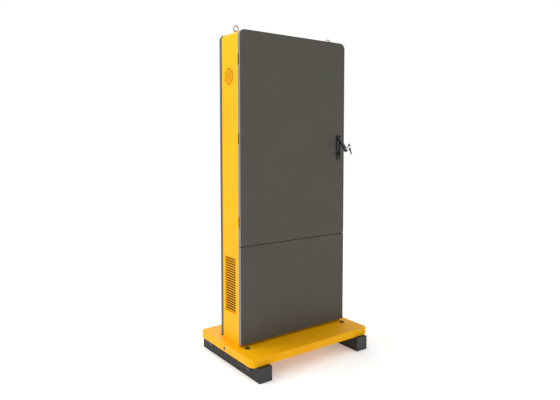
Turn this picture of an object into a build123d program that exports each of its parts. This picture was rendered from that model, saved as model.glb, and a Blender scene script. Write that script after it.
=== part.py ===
from build123d import *
import os
from math import cos, radians, sin

os.makedirs("parts", exist_ok=True)

# Outdoor parking pay station: a slim floor-standing cabinet on a steel base tray and two skids.
# Millimetres. +Z up, the customer's side faces -Y, the service door faces +Y.
# The origin is on the floor, under the middle of the base.

# ---------------------------------------------------------------- driving dimensions
cabinet_width = 860.0        # front and rear panels, side to side
panel_height = 1950.0        # front panel, and rear door and lower panel together
corner_radius = 38.0         # top corners of the panels
body_depth = 194.0           # yellow wrap, front to back
body_inset = 2.5             # the wrap lies this far inside the panels' outline
sheet = 2.0                  # wrap, frames and panels
door_thickness = 26.0
front_thickness = 20.0
panel_gap = 3.0              # shadow gap between wrap and panels
lower_panel_height = 618.0   # fixed panel under the service door
split_gap = 4.0              # between the door and the fixed panel
foot_gap = 16.0              # under the panels
flange = 24.0                # width of the frames inside the wrap
rail_height = 60.0           # rail behind the split

base_length = 960.0
base_width = 640.0
base_height = 48.0
base_sheet = 3.0
base_corner = 30.0
base_edge = 4.0              # rounding of the tray's top edge
base_return = 40.0           # flange turned in under the tray
skid_size = 90.0
skid_wall = 4.0
skid_length = 700.0
skid_inset = 36.0            # from the tray's end to the skid's outer face
anchor_spread = 294.0        # between the anchor holes of one skid
anchor_radius = 7.0
access_radius = 14.0

fit = 0.3                    # clearance between pieces that are set into each other
running = 0.05               # radial clearance of pins and shafts

display_width = cabinet_width - 300
display_height = panel_height - 970
display_thickness = 28.0
glass_thickness = 6.0
window_margin = 10.0         # glass shown around the display module

# ---------------------------------------------------------------- derived places
skid_top = skid_size
base_top = skid_top + base_height
panel_bottom = base_top + foot_gap
panel_top = panel_bottom + panel_height
body_top = panel_top - body_inset
body_half = cabinet_width / 2 - body_inset
inner_half = body_half - sheet
inner_top = body_top - sheet
door_bottom = panel_bottom + lower_panel_height + split_gap
lower_panel_top = panel_bottom + lower_panel_height
display_centre_height = panel_top - 84 - display_height / 2
total_depth = front_thickness + panel_gap + body_depth + panel_gap + door_thickness
front_face = -total_depth / 2
body_front = front_face + front_thickness + panel_gap
body_rear = body_front + body_depth
door_inside = body_rear + panel_gap
door_face = door_inside + door_thickness
skid_centre = base_length / 2 - skid_inset - skid_size / 2
sides = (-1, 1)


# ---------------------------------------------------------------- shapes used throughout
def block(x0, x1, y0, y1, z0, z1):
    """Rectangular solid between two corners."""
    return Pos((x0 + x1) / 2, (y0 + y1) / 2, (z0 + z1) / 2) * Box(abs(x1 - x0), abs(y1 - y0), abs(z1 - z0))


def bar_x(radius, x0, x1, y, z):
    """Round bar along X."""
    return Pos((x0 + x1) / 2, y, z) * Rot(0, 90, 0) * Cylinder(radius, abs(x1 - x0))


def bar_y(radius, x, y0, y1, z):
    """Round bar along Y."""
    return Pos(x, (y0 + y1) / 2, z) * Rot(90, 0, 0) * Cylinder(radius, abs(y1 - y0))


def bar_z(radius, x, y, z0, z1):
    """Round bar along Z."""
    return Pos(x, y, (z0 + z1) / 2) * Cylinder(radius, abs(z1 - z0))


def hex_y(across, x, y0, y1, z):
    """Hexagonal bar along Y, size across its flats."""
    face = Plane(origin=(x, y0, z), x_dir=(1, 0, 0), z_dir=(0, 1, 0)) * RegularPolygon(across / 2, 6, False)
    return extrude(face, amount=y1 - y0)


def hex_x(across, x0, x1, y, z):
    """Hexagonal bar along X, size across its flats."""
    face = Plane(origin=(x0, y, z), x_dir=(0, 1, 0), z_dir=(1, 0, 0)) * RegularPolygon(across / 2, 6, False)
    return extrude(face, amount=x1 - x0)


def hex_z(across, x, y, z0, z1):
    """Hexagonal bar along Z, size across its flats."""
    return extrude(Pos(x, y, z0) * RegularPolygon(across / 2, 6, False), amount=z1 - z0)


def slab(half, z0, z1, top_radius, bottom_radius, y0, y1):
    """Upright plate, centred on X, with rounded top and bottom corners."""
    outline = Pos(0, (z0 + z1) / 2) * Rectangle(2 * half, z1 - z0)
    if top_radius > 0:
        outline = fillet(outline.vertices().group_by(Axis.Y)[-1], top_radius)
    if bottom_radius > 0:
        outline = fillet(outline.vertices().group_by(Axis.Y)[0], bottom_radius)
    return extrude(Plane.XZ.offset(-y1) * outline, amount=y1 - y0)


def group(solids):
    """Several separate solids that share a node."""
    return Compound(children=list(solids))


def save(name, shape):
    """Write one node."""
    export_step(shape, "parts/" + name + ".step")


# ---------------------------------------------------------------- skids, caps, brackets
def skid(side):
    """Square tube along Y, with anchor holes in its floor and access holes in its top."""
    x = side * skid_centre
    half = skid_size / 2
    length = skid_length - 2 * skid_wall
    tube = block(x - half, x + half, -length / 2, length / 2, 0, skid_top)
    bore = half - skid_wall
    tube -= block(x - bore, x + bore, -length / 2, length / 2, skid_wall, skid_top - skid_wall)
    for y in (-anchor_spread / 2, anchor_spread / 2):
        tube -= bar_z(anchor_radius, x, y, 0, skid_wall)
        tube -= bar_z(access_radius, x, y, skid_top - skid_wall, skid_top)
    return tube


def skid_cap(side, end):
    """Moulded cap: a face plate with a plug that fits the tube."""
    x = side * skid_centre
    half = skid_size / 2
    tube_end = end * (skid_length / 2 - skid_wall)
    plug_end = tube_end - end * 18
    plate = block(x - half, x + half, tube_end, tube_end + end * skid_wall, 0, skid_size)
    bore = half - skid_wall - fit
    plug = block(x - bore, x + bore, plug_end, tube_end, half - bore, half + bore)
    hollow = bore - 3
    plug -= block(x - hollow, x + hollow, plug_end, tube_end, half - hollow, half + hollow)
    return plate + plug


bracket_leg = 30.0
bracket_sheet = 4.0
bracket_length = 44.0
bracket_places = (-230.0, 230.0)


def skid_bracket(side, y):
    """Angle between the tray's return flange and the skid's outer face."""
    face = side * (skid_centre + skid_size / 2)
    y0, y1 = y - bracket_length / 2, y + bracket_length / 2
    top = block(face, face + side * bracket_leg, y0, y1, skid_top - bracket_sheet, skid_top)
    leg = block(face, face + side * bracket_sheet, y0, y1, skid_top - bracket_leg * 1.6, skid_top)
    return top + leg


def skid_bolt(side, y):
    """Hexagon-head screw through the bracket into the skid."""
    face = side * (skid_centre + skid_size / 2 + bracket_sheet)
    z = skid_top - bracket_leg
    head = hex_x(13, min(face, face + side * 7), max(face, face + side * 7), y, z)
    return head


save("skid_beams", group(skid(side) for side in sides))
save("skid_end_caps", group(skid_cap(side, end) for side in sides for end in sides))
save("skid_brackets", group(skid_bracket(side, y) for side in sides for y in bracket_places))
skid_bolts = [skid_bolt(side, y) for side in sides for y in bracket_places]


# ---------------------------------------------------------------- base tray and its plugs
cable_hole = 32.0            # radius of the cable entry through tray and cabinet floor
cable_hole_y = 0.0
cable_hole_x = 250.0
base_end_hole = 10.0         # radius of the drain and lifting hole in each end skirt
base_end_hole_height = base_top - 28


def base_tray():
    """Folded tray, open below, with a flange turned in along its lower edge."""
    def layer(inset, z0, z1):
        outline = RectangleRounded(base_length - 2 * inset, base_width - 2 * inset, base_corner - min(inset, 25))
        return extrude(Pos(0, 0, z0) * outline, amount=z1 - z0)

    tray = layer(0, skid_top, base_top)
    tray = fillet(tray.faces().sort_by(Axis.Z)[-1].edges(), base_edge)
    tray -= layer(base_sheet, skid_top + base_sheet, base_top - base_sheet)
    tray -= layer(base_return, skid_top, skid_top + base_sheet)
    tray -= bar_z(cable_hole, cable_hole_x, cable_hole_y, base_top - base_sheet, base_top)
    for side in sides:
        end = side * base_length / 2
        tray -= bar_x(base_end_hole, end - side * base_sheet * 2, end, 0, base_end_hole_height)
        for y in (-anchor_spread / 2, anchor_spread / 2):
            tray -= bar_z(access_radius, side * skid_centre, y, base_top - base_sheet, base_top)
    return tray


def base_plug(x, y):
    """Rubber plug over the way down to an anchor bolt."""
    head = bar_z(access_radius + 3.5, x, y, base_top, base_top + 4)
    head = fillet(head.edges().sort_by(Axis.Z)[-1], 2.5)
    stem = bar_z(access_radius - fit, x, y, base_top - base_sheet - 4, base_top)
    lip = bar_z(access_radius + 1.5, x, y, base_top - base_sheet - 4, base_top - base_sheet)
    return head + stem + lip


save("base_tray", base_tray())
plug_places = [(side * skid_centre, y) for side in sides for y in (-anchor_spread / 2, anchor_spread / 2)]
save("base_plugs", group(base_plug(x, y) for x, y in plug_places))


# ---------------------------------------------------------------- cabinet wrap, frames, floor
grille_radius = 57.0
grille_y = body_front + 88
grille_height = body_top - 269.5
louvre_low = base_top + 195
louvre_high = louvre_low + 359
louvre_front = body_front + 29
louvre_rear = body_rear - 38
eye_x = body_half - 45.5
eye_shank = 6.0              # radius
floor_sheet = 3.0
floor_flange = 24.0


def cabinet_shell():
    """One folded sheet: both sides and the roof, with rounded top corners."""
    outside = slab(body_half, base_top, body_top, corner_radius - body_inset, 0, body_front, body_rear)
    inside = slab(inner_half, base_top - 1, inner_top, corner_radius - body_inset - sheet, 0,
                  body_front, body_rear)
    shell = outside - inside
    shell -= bar_x(grille_radius + fit, -body_half, body_half, grille_y, grille_height)
    shell -= block(-body_half, body_half, louvre_front, louvre_rear, louvre_low, louvre_high)
    for side in sides:
        shell -= bar_z(eye_shank + fit, side * eye_x, 0, inner_top, body_top)
    return shell


def frame_ring(y0, y1, low, opening_low):
    """Flat frame inside the wrap, with one large opening."""
    outer = slab(inner_half, low, inner_top, corner_radius - body_inset - sheet, 0, y0, y1)
    opening = slab(inner_half - flange, opening_low, inner_top - flange, 8, 0, y0, y1)
    return outer - opening


rail_low = lower_panel_top + split_gap / 2 - rail_height / 2
rail_high = rail_low + rail_height
stud_radius = 3.0
stud_x = inner_half - 7
stud_low, stud_high = panel_bottom + 106, lower_panel_top - 122
stud_places = [(side * stud_x, z) for side in sides for z in (stud_low, (stud_low + stud_high) / 2, stud_high)]


def rear_frame():
    """Rear frame with a rail behind the split, and holes for the lower panel's studs."""
    frame = frame_ring(body_rear - sheet, body_rear, base_top + floor_sheet, base_top + 50)
    frame += block(-inner_half + flange, inner_half - flange, body_rear - sheet, body_rear, rail_low, rail_high)
    for x, z in stud_places:
        frame -= bar_y(stud_radius + fit, x, body_rear - sheet, body_rear, z)
    return frame


def cabinet_floor():
    """Floor plate with the cable entry and bolt holes."""
    plate = block(-inner_half, inner_half, body_front, body_rear, base_top, base_top + floor_sheet)
    plate -= bar_z(cable_hole, cable_hole_x, cable_hole_y, base_top, base_top + floor_sheet)
    return plate


floor_bolt_x = body_half - 87.5
floor_bolt_y = body_depth / 2 - 37
body_middle = (body_front + body_rear) / 2
floor_bolt_places = [(x * floor_bolt_x, body_middle + y * floor_bolt_y) for x in (-1, 0, 1) for y in sides]


def cabinet_bolt(x, y):
    """Hexagon screw head and washer that hold the cabinet floor down on the tray."""
    top = base_top + floor_sheet
    return bar_z(12, x, y, top, top + 2) + hex_z(17, x, y, top + 2, top + 9)


save("cabinet_shell", cabinet_shell())
save("rear_frame", rear_frame())
save("cabinet_floor", cabinet_floor())
floor_bolts = [cabinet_bolt(x, y) for x, y in floor_bolt_places]


# ---------------------------------------------------------------- round grilles, fans, louvres
grille_hole = 3.0
grille_pitch = 10.5
fan_size = 120.0
fan_depth = 38.0
fan_bore = 56.0
fan_hub = 22.0
fan_shaft = 3.0
blade_count = 7


def fan_grille(side):
    """Perforated round plate let into the wrap, with a rim behind the sheet."""
    inner, outer = side * inner_half, side * body_half
    disc = bar_x(grille_radius, inner, outer, grille_y, grille_height)
    holes = []
    for ring in range(1, 5):
        count = 6 * ring
        for step in range(count):
            spot = Vector(ring * grille_pitch, 0).rotate(Axis.Z, 360 * step / count)
            holes.append(bar_x(grille_hole, inner, outer, grille_y + spot.X, grille_height + spot.Y))
    holes.append(bar_x(grille_hole, inner, outer, grille_y, grille_height))
    return disc - holes


def fan_housing(side):
    """Square fan frame with a round duct, three arms and the motor boss with its shaft."""
    outer = side * inner_half
    inner = outer - side * fan_depth
    half = fan_size / 2
    y, z = grille_y, grille_height
    frame = block(inner, outer, y - half, y + half, z - half, z + half)
    frame -= bar_x(fan_bore, inner, outer, y, z)
    boss_end = inner + side * 6
    boss = bar_x(fan_hub, inner, boss_end, y, z)
    arm = block(inner, boss_end, y - 4, y + 4, z, z + fan_bore + 1)
    for turn in range(3):
        boss += arm.rotate(Axis((0, y, z), (1, 0, 0)), 120 * turn + 30)
    shaft = bar_x(fan_shaft, boss_end, outer - side * 9, y, z)
    return frame + boss + shaft


def fan_rotor(side):
    """Hub with twisted blades, running on the housing's shaft."""
    outer = side * inner_half
    y, z = grille_y, grille_height
    start = outer - side * (fan_depth - 7)
    end = outer - side * 5
    hub = bar_x(fan_hub, start, end, y, z)
    blade = Box(2.4, 22, fan_bore - 3 - fan_hub + 3)
    blade = Pos((start + end) / 2, y, z + (fan_hub - 3 + fan_bore - 3) / 2) * Rot(0, 0, 42) * blade
    for turn in range(blade_count):
        hub += blade.rotate(Axis((0, y, z), (1, 0, 0)), 360 * turn / blade_count)
    return hub - bar_x(fan_shaft + running, start, end - side * 3, y, z)


slat_pitch = 16.0
slat_sheet = 1.5
louvre_depth = 15.0


def louvre(side):
    """Framed stack of sloping slats behind the opening in the wrap."""
    inner, outer = side * inner_half, side * body_half
    back = inner - side * (louvre_depth - sheet)
    rim = block(inner - side * slat_sheet, inner, louvre_front - 10, louvre_rear + 10,
                louvre_low - 10, louvre_high + 10)
    rim -= block(inner - side * slat_sheet, inner, louvre_front, louvre_rear, louvre_low, louvre_high)
    for y0, y1 in ((louvre_front - slat_sheet, louvre_front), (louvre_rear, louvre_rear + slat_sheet)):
        rim += block(back, inner, y0, y1, louvre_low, louvre_high)
    count = int((louvre_high - louvre_low) // slat_pitch)
    for index in range(count):
        z = louvre_low + slat_pitch * (index + 0.5) + (louvre_high - louvre_low - count * slat_pitch) / 2
        slat = Box(louvre_depth - 2, louvre_rear - louvre_front, slat_sheet)
        rim += Pos((inner + back) / 2, (louvre_front + louvre_rear) / 2, z) * Rot(0, side * 38, 0) * slat
    return rim


def dust_filter(side):
    """Flat foam filter behind the louvre."""
    face = side * (inner_half - louvre_depth - 0.5)
    return block(face - side * 10, face, louvre_front - 8, louvre_rear + 8, louvre_low - 6, louvre_high + 6)


def filter_holder(side):
    """Angles above and below the filter, welded to the wrap."""
    inner = side * inner_half
    back = inner - side * (louvre_depth + 11)
    pieces = []
    for z, turn in ((louvre_low - 6, -1), (louvre_high + 6, 1)):
        gap = z + turn * fit
        shelf = block(back, inner - side * slat_sheet, louvre_front, louvre_rear, gap, gap + turn * 2)
        lip = block(back - side * 2, back, louvre_front, louvre_rear, gap - turn * 8, gap + turn * 2)
        pieces.append(shelf + lip)
    return pieces


for side, name in ((-1, "left"), (1, "right")):
    save("fan_rotor_" + name, fan_rotor(side))
save("louvres", group(piece for side in sides for piece in [louvre(side)] + filter_holder(side)))
save("fan_grilles", group(fan_grille(side) for side in sides))
save("fan_housings", group(fan_housing(side) for side in sides))
save("dust_filters", group(dust_filter(side) for side in sides))


# ---------------------------------------------------------------- lifting eyes and their nuts
eye_ring = 18.0              # to the middle of the ring's bar
eye_bar = 4.5
eye_collar = 13.0
eye_collar_height = 6.0


def lifting_eye(side):
    """Forged eye with a collar and a threaded shank through the roof."""
    x = side * eye_x
    centre = body_top + eye_collar_height + eye_ring + eye_bar - 2
    ring = Pos(x, 0, centre) * Rot(90, 0, 0) * Torus(eye_ring, eye_bar)
    collar = bar_z(eye_collar, x, 0, body_top, body_top + eye_collar_height)
    shank = bar_z(eye_shank, x, 0, inner_top - 14, body_top)
    return ring + collar + shank


def eye_nut(side):
    """Hexagon nut under the roof."""
    x = side * eye_x
    nut = hex_z(19, x, 0, inner_top - 10, inner_top)
    return nut - bar_z(eye_shank, x, 0, inner_top - 10, inner_top)


save("lifting_eyes", group(lifting_eye(side) for side in sides))


# ---------------------------------------------------------------- fixed lower rear panel
gasket_thickness = 2.7
gasket_gap = 0.3             # between the door's seal and the rear frame
gasket_width = 8.0
gasket_inset = 3.0           # from the channel's outer edge


def pan(low, high, top_radius, bottom_radius):
    """Panel folded into a shallow pan, open towards the cabinet."""
    half = cabinet_width / 2
    outside = slab(half, low, high, top_radius, bottom_radius, door_inside, door_face)
    inner_top_radius = max(top_radius - sheet, 0)
    inner_bottom_radius = max(bottom_radius - sheet, 0)
    hollow = slab(half - sheet, low + sheet, high - sheet, inner_top_radius, inner_bottom_radius,
                  door_inside, door_face - sheet)
    return outside - hollow


def lower_panel():
    """Lower rear panel with standoffs and welded studs that pass through the rear frame."""
    panel = pan(panel_bottom, lower_panel_top, 0, 3)
    for x, z in stud_places:
        panel += bar_y(5, x, body_rear, door_face - sheet, z)
        panel += bar_y(stud_radius, x, body_rear - sheet - 12, body_rear, z)
    return panel


def lower_panel_nut(x, z):
    """Nut on a lower panel stud, inside the cabinet."""
    y1 = body_rear - sheet
    return hex_y(10, x, y1 - 5, y1, z) - bar_y(stud_radius, x, y1 - 5, y1, z)


def seal_ring(half, low, high, width, y0, y1, radius=0.0):
    """Endless foam strip."""
    inner_radius = max(radius - width, 0)
    return slab(half, low, high, radius, 0, y0, y1) - slab(half - width, low + width, high - width,
                                                          inner_radius, 0, y0, y1)


save("lower_rear_panel", lower_panel())
panel_nuts = [lower_panel_nut(x, z) for x, z in stud_places]
eye_nuts = [eye_nut(side) for side in sides]
save("frame_fasteners", group(skid_bolts + floor_bolts + panel_nuts + eye_nuts))
lower_gasket = seal_ring(inner_half - 14, panel_bottom + 6, rail_low + 22, gasket_width, body_rear,
                         body_rear + gasket_thickness)


# ---------------------------------------------------------------- service door
hinge_x = cabinet_width / 2 - 7      # hinge axis, vertical
hinge_y = body_rear + 11
knuckle_radius = 4.5
hinge_pin_radius = 2.0
hinge_height = 62.0
knuckle_gap = 0.5
hinge_places = (door_bottom + 150, (door_bottom + panel_top) / 2, panel_top - 180)
notch_depth = 13.0
leaf_sheet = 2.5
door_frame_outer = cabinet_width / 2 - 15   # stiffening channel inside the door pan
door_frame_width = 12.0
door_frame_low = door_bottom + 8
door_frame_high = panel_top - 12
door_frame_radius = 24.0

handle_x = 58 - cabinet_width / 2
handle_pivot_z = (door_bottom + panel_top) / 2 + 12
handle_pivot_y = door_face + 10
handle_angle = 40.0          # the lever stands out by this much when released
lever_length = 124.0
lever_width = 23.0
lever_thickness = 11.0
lock_reach = 107.0           # from the lever's pivot to the lock
cutout_half = 11.0
cutout_high = handle_pivot_z - 30
cutout_low = handle_pivot_z - 128


def door_pan():
    """Door skin, folded on all four sides, with hinge notches and the handle's cut-out."""
    door = pan(door_bottom, panel_top, corner_radius, 0)
    half = cabinet_width / 2
    for z in hinge_places:
        reach = hinge_height / 2 + 1
        door -= block(half - sheet, half, door_inside, door_inside + notch_depth, z - reach, z + reach)
    door -= block(handle_x - cutout_half, handle_x + cutout_half, door_face - sheet, door_face,
                  cutout_low, cutout_high)
    return door


def door_frame():
    """Welded ring of channel inside the pan, which also carries the seal."""
    half = door_frame_outer
    low, high, width = door_frame_low, door_frame_high, door_frame_width
    ring = slab(half, low, high, door_frame_radius, 0, door_inside, door_face - sheet)
    ring -= slab(half - width, low + width, high - width, 8, 0, door_inside, door_face - sheet)
    return ring


save("rear_door", door_pan())
save("door_gasket", seal_ring(door_frame_outer - gasket_inset, door_frame_low + gasket_inset,
                              door_frame_high - gasket_inset, gasket_width, body_rear + gasket_gap, door_inside,
                              20))


# ---------------------------------------------------------------- hinges
def hinge_spans(z):
    """Lower, middle and upper knuckle of one hinge."""
    third = hinge_height / 3
    low = z - hinge_height / 2
    return [(low + third * k + knuckle_gap / 2, low + third * (k + 1) - knuckle_gap / 2) for k in range(3)]


def body_leaf(z):
    """Leaf welded to the rear frame, with the outer two knuckles."""
    foot_top = body_rear + leaf_sheet
    leaf = block(hinge_x - 10, hinge_x - 2, body_rear, foot_top, z - hinge_height / 2, z + hinge_height / 2)
    for z0, z1 in (hinge_spans(z)[0], hinge_spans(z)[2]):
        web = block(hinge_x - knuckle_radius, hinge_x - knuckle_radius + leaf_sheet, body_rear, hinge_y, z0, z1)
        bore = bar_z(hinge_pin_radius + running, hinge_x, hinge_y, z0, z1)
        leaf += bar_z(knuckle_radius, hinge_x, hinge_y, z0, z1) + web - bore
    return leaf


def door_leaf(z):
    """Leaf welded inside the door's skirt, with the middle knuckle."""
    z0, z1 = hinge_spans(z)[1]
    inner = cabinet_width / 2 - sheet
    bore = bar_z(hinge_pin_radius + running, hinge_x, hinge_y, z0, z1)
    web = block(hinge_x + 2, inner, hinge_y, door_face - sheet, z0, z1)
    leaf = bar_z(knuckle_radius, hinge_x, hinge_y, z0, z1) + web - bore
    plate_start = door_inside + notch_depth + 1
    return leaf + block(inner - leaf_sheet, inner, plate_start, door_face - sheet, z - 28, z + 28)


def hinge_pin(z):
    """Headed pin through all three knuckles."""
    top = hinge_spans(z)[2][1]
    low = z - hinge_height / 2
    return bar_z(hinge_pin_radius, hinge_x, hinge_y, low, top) + bar_z(3.2, hinge_x, hinge_y, top, top + 2)


save("hinge_body_leaves", group(body_leaf(z) for z in hinge_places))
save("door_frame", group([door_frame()] + [door_leaf(z) for z in hinge_places]))
save("hinge_pins", group(hinge_pin(z) for z in hinge_places))


# ---------------------------------------------------------------- handle plate, lever and lock
plate_half = 16.5
plate_low = handle_pivot_z - 152
plate_high = handle_pivot_z + 15
plate_sheet = 3.5
rim_sheet = plate_half - lever_width / 2 - 1
rim_top = door_face + 8
ear_top = handle_pivot_y + 6
pivot_radius = 3.0
barrel_radius = 8.0
plug_radius = 5.0
slot_half = 5.0              # lock cam's slot in the handle plate


def handle_plate():
    """Moulded plate with raised rims, ears for the lever's pin and a boss for the lower screw."""
    x0, x1 = handle_x - plate_half, handle_x + plate_half
    plate = block(x0, x1, door_face, rim_top, plate_low, plate_high)
    plate = fillet(plate.edges().filter_by(Axis.Y), 9)
    bed = door_face + plate_sheet
    pocket = block(x0 + rim_sheet, x1 - rim_sheet, bed, rim_top, handle_pivot_z - lever_length - 3,
                   handle_pivot_z + 10)
    plate -= pocket
    lock_z = handle_pivot_z - lock_reach
    plate -= bar_y(barrel_radius + 2.5, handle_x, door_face, bed, lock_z)
    plate -= block(handle_x - slot_half, handle_x + slot_half, door_face, bed, cutout_low + 2, lock_z)
    for side in sides:
        edge = handle_x + side * plate_half
        ear = block(edge - side * rim_sheet, edge, rim_top, ear_top, handle_pivot_z - 8, handle_pivot_z + 8)
        plate += ear
    plate -= bar_x(pivot_radius, x0, x1, handle_pivot_y, handle_pivot_z)
    plate -= bar_y(2.6, handle_x, door_face, rim_top, plate_low + 11)
    return plate


def folded_to_rest(shape):
    """Swing a piece of the lever from its folded place to where it stands at rest."""
    return shape.rotate(Axis((handle_x, handle_pivot_y, handle_pivot_z), (1, 0, 0)), handle_angle)


def lift_lever():
    """Bar with a rounded pivot end and a bore for the lock."""
    half = lever_width / 2
    y0, y1 = handle_pivot_y - lever_thickness / 2, handle_pivot_y + lever_thickness / 2
    lever = block(handle_x - half, handle_x + half, y0, y1, handle_pivot_z - lever_length, handle_pivot_z)
    lever = fillet(lever.edges().filter_by(Axis.Y).group_by(Axis.Z)[0], 9)
    lever += bar_x(lever_thickness / 2, handle_x - half, handle_x + half, handle_pivot_y, handle_pivot_z)
    lever -= bar_x(pivot_radius + running, handle_x - half, handle_x + half, handle_pivot_y, handle_pivot_z)
    lever -= bar_y(barrel_radius, handle_x, y0, y1, handle_pivot_z - lock_reach)
    return folded_to_rest(lever)


barrel_back = door_face - 3
barrel_front = handle_pivot_y + lever_thickness / 2 + 2
cam_sheet = 3.0
cam_reach = 14.0


def lock_barrel():
    """Plated sleeve pressed into the lever."""
    z = handle_pivot_z - lock_reach
    sleeve = bar_y(barrel_radius, handle_x, barrel_back, barrel_front, z)
    return folded_to_rest(sleeve - bar_y(plug_radius + running, handle_x, barrel_back, barrel_front, z))


key_sheet = 2.0
key_bow = 11.0
key_stem = 30.0
spare_shorter = 14.0         # the spare keys have shorter stems
bow_hole = 3.0
blade_depth = 16.0


def lock_plug():
    """Turning plug with a keyway and the cam on its back end."""
    z = handle_pivot_z - lock_reach
    back = barrel_back - cam_sheet
    plug = bar_y(plug_radius, handle_x, back, barrel_front + 0.8, z)
    cam = block(handle_x - 4, handle_x + 4, back, back + cam_sheet - 0.4, z - cam_reach, z)
    keyway = block(handle_x - key_sheet / 2, handle_x + key_sheet / 2, barrel_front - blade_depth,
                   barrel_front + 0.8, z - 3.4, z + 3.4)
    return folded_to_rest(plug + cam - keyway)


def key_blank(length):
    """Flat key along +Y from the origin: blade, stem and a round bow with a hole."""
    blade = block(-key_sheet / 2, key_sheet / 2, 0, length, -3.2, 3.2)
    for k in range(3):
        blade -= block(-key_sheet, key_sheet, 3 + 5 * k, 5.4 + 5 * k, 1.6, 4)
    bow_y = length + key_bow - 2
    bow = bar_x(key_bow, -key_sheet / 2, key_sheet / 2, bow_y, 0)
    return blade + bow - bar_x(bow_hole, -key_sheet, key_sheet, bow_y + 5, 0)


key_length = blade_depth + key_stem
key_start = barrel_front - blade_depth + 0.2
hole_from_start = key_length + key_bow - 2 + 5


def lock_key():
    """Key standing in the lock."""
    z = handle_pivot_z - lock_reach
    return folded_to_rest(Pos(handle_x, key_start, z) * key_blank(key_length))


hole_folded = Pos(handle_x, key_start + hole_from_start, handle_pivot_z - lock_reach) * Sphere(1)
hole_place = folded_to_rest(hole_folded).center()
ring_wire = 0.9
ring_radius = 12.0
ring_top = Vector(hole_place.X, hole_place.Y, hole_place.Z - bow_hole + ring_wire + fit)
ring_centre = ring_top - Vector(0, 0, ring_radius)


def key_ring():
    """Wire ring through the key's bow."""
    return Pos(ring_centre) * Rot(90, 0, 0) * Torus(ring_radius, ring_wire)


def spare_key(angle, turn):
    """Spare key hanging from the ring: `angle` places it round the ring, `turn` leans it outwards."""
    length = key_length - spare_shorter
    hole_reach = length + key_bow - 2 + 5
    hung = Rot(90, 0, 0) * Pos(0, -hole_reach, 0) * key_blank(length)
    hung = Pos(0, 0, -bow_hole + ring_wire + fit) * hung
    spot = Vector(0, 0, -ring_radius).rotate(Axis.Y, angle)
    return Pos(ring_centre + spot) * Rot(turn, 0, 0) * Rot(0, angle, 0) * hung


save("handle_plate", handle_plate())
save("lift_lever", lift_lever())
save("lock_barrel", lock_barrel())
save("lock_plug", lock_plug())
save("lock_key", lock_key())
save("spare_keys", group([key_ring(), spare_key(14, 0), spare_key(-8, 42)]))
pivot_ends = (handle_x - plate_half, handle_x + plate_half)
handle_pin = bar_x(pivot_radius, *pivot_ends, handle_pivot_y, handle_pivot_z)
screw_z = plate_low + 11
handle_screw = (bar_y(5.5, handle_x, rim_top, rim_top + 3, screw_z)
                + bar_y(2.5, handle_x, door_face, rim_top, screw_z))
save("handle_fixings", group([handle_pin, handle_screw]))


# ---------------------------------------------------------------- latch: crank, rods, guides, keepers
crank_z = handle_pivot_z - 52
crank_arm = 18.0
crank_swing = 25.0           # either side of level
crank_y = body_rear + 17     # inner face of the crank plate
crank_sheet = 3.0
spindle_radius = 5.0
crank_pin = 3.0
rod_width = 10.0
rod_sheet = 4.0
rod_y = crank_y - 1 - rod_sheet
rod_gap = 1.0
rod_travel = 2 * crank_arm * sin(radians(crank_swing))
keeper_sheet = 3.0
throw_clearance = 6.0
upper_keeper_z = inner_top - flange - 24
lower_keeper_z = rail_high + 10
upper_tip = upper_keeper_z - throw_clearance
lower_tip = lower_keeper_z + keeper_sheet + throw_clearance


def latch_bracket():
    """Plate welded to the door skin, with the crank's spindle and its head."""
    skin = door_face - sheet
    plate = block(handle_x - 24, handle_x + 24, skin - 2, skin, crank_z - 22, cutout_high + 30)
    plate -= block(handle_x - cutout_half, handle_x + cutout_half, skin - 2, skin, cutout_low, crank_z - 12)
    post = bar_y(spindle_radius, handle_x, crank_y - 1, skin - 2, crank_z)
    head = bar_y(spindle_radius + 3, handle_x, crank_y - 3, crank_y - 1, crank_z)
    return plate + post + head


def latch_crank():
    """Two-armed crank plate with a pin at each end, shown with the latch drawn back."""
    y1 = crank_y + crank_sheet
    plate = block(handle_x - crank_arm, handle_x + crank_arm, crank_y, y1, crank_z - 7, crank_z + 7)
    for side in sides:
        x = handle_x + side * crank_arm
        plate += bar_y(7, x, crank_y, y1, crank_z)
        plate += bar_y(crank_pin, x, rod_y - 1, crank_y, crank_z)
    plate += bar_y(spindle_radius + 3, handle_x, crank_y, y1 + 2, crank_z)
    plate -= bar_y(spindle_radius + running, handle_x, crank_y, y1 + 2, crank_z)
    return plate.rotate(Axis((handle_x, 0, crank_z), (0, 1, 0)), crank_swing)


pin_reach = crank_arm * (1 + cos(radians(crank_swing))) / 2
pin_drop = crank_arm * sin(radians(crank_swing))
slot_reach = crank_arm - pin_reach + crank_pin + fit


def latch_rod(side, tip):
    """Flat rod with a slotted eye round one of the crank's pins."""
    x = handle_x + side * pin_reach
    z = crank_z - side * pin_drop
    turn = 1 if tip > z else -1
    half = rod_width / 2
    eye = block(x - 9, x + 9, rod_y, rod_y + rod_sheet, z - 8, z + 8)
    rod = block(x - half, x + half, rod_y, rod_y + rod_sheet, min(z, tip), max(z, tip))
    nose = block(x - half, x + half, rod_y, rod_y + rod_sheet, tip - 6, tip + 6)
    rod = rod - nose + extrude(
        Plane.XZ.offset(-rod_y - rod_sheet) * make_hull(
            [Line((x - half, tip - turn * 6), (x + half, tip - turn * 6)), Line((x - 2, tip), (x + 2, tip))]),
        amount=rod_sheet)
    slot = block(x - slot_reach, x + slot_reach, rod_y, rod_y + rod_sheet, z - crank_pin - fit,
                 z + crank_pin + fit)
    return rod + eye - slot


guide_places = [(1, crank_z + 190), (1, upper_tip - 60), (-1, crank_z - 190), (-1, lower_tip + 70)]


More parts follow.
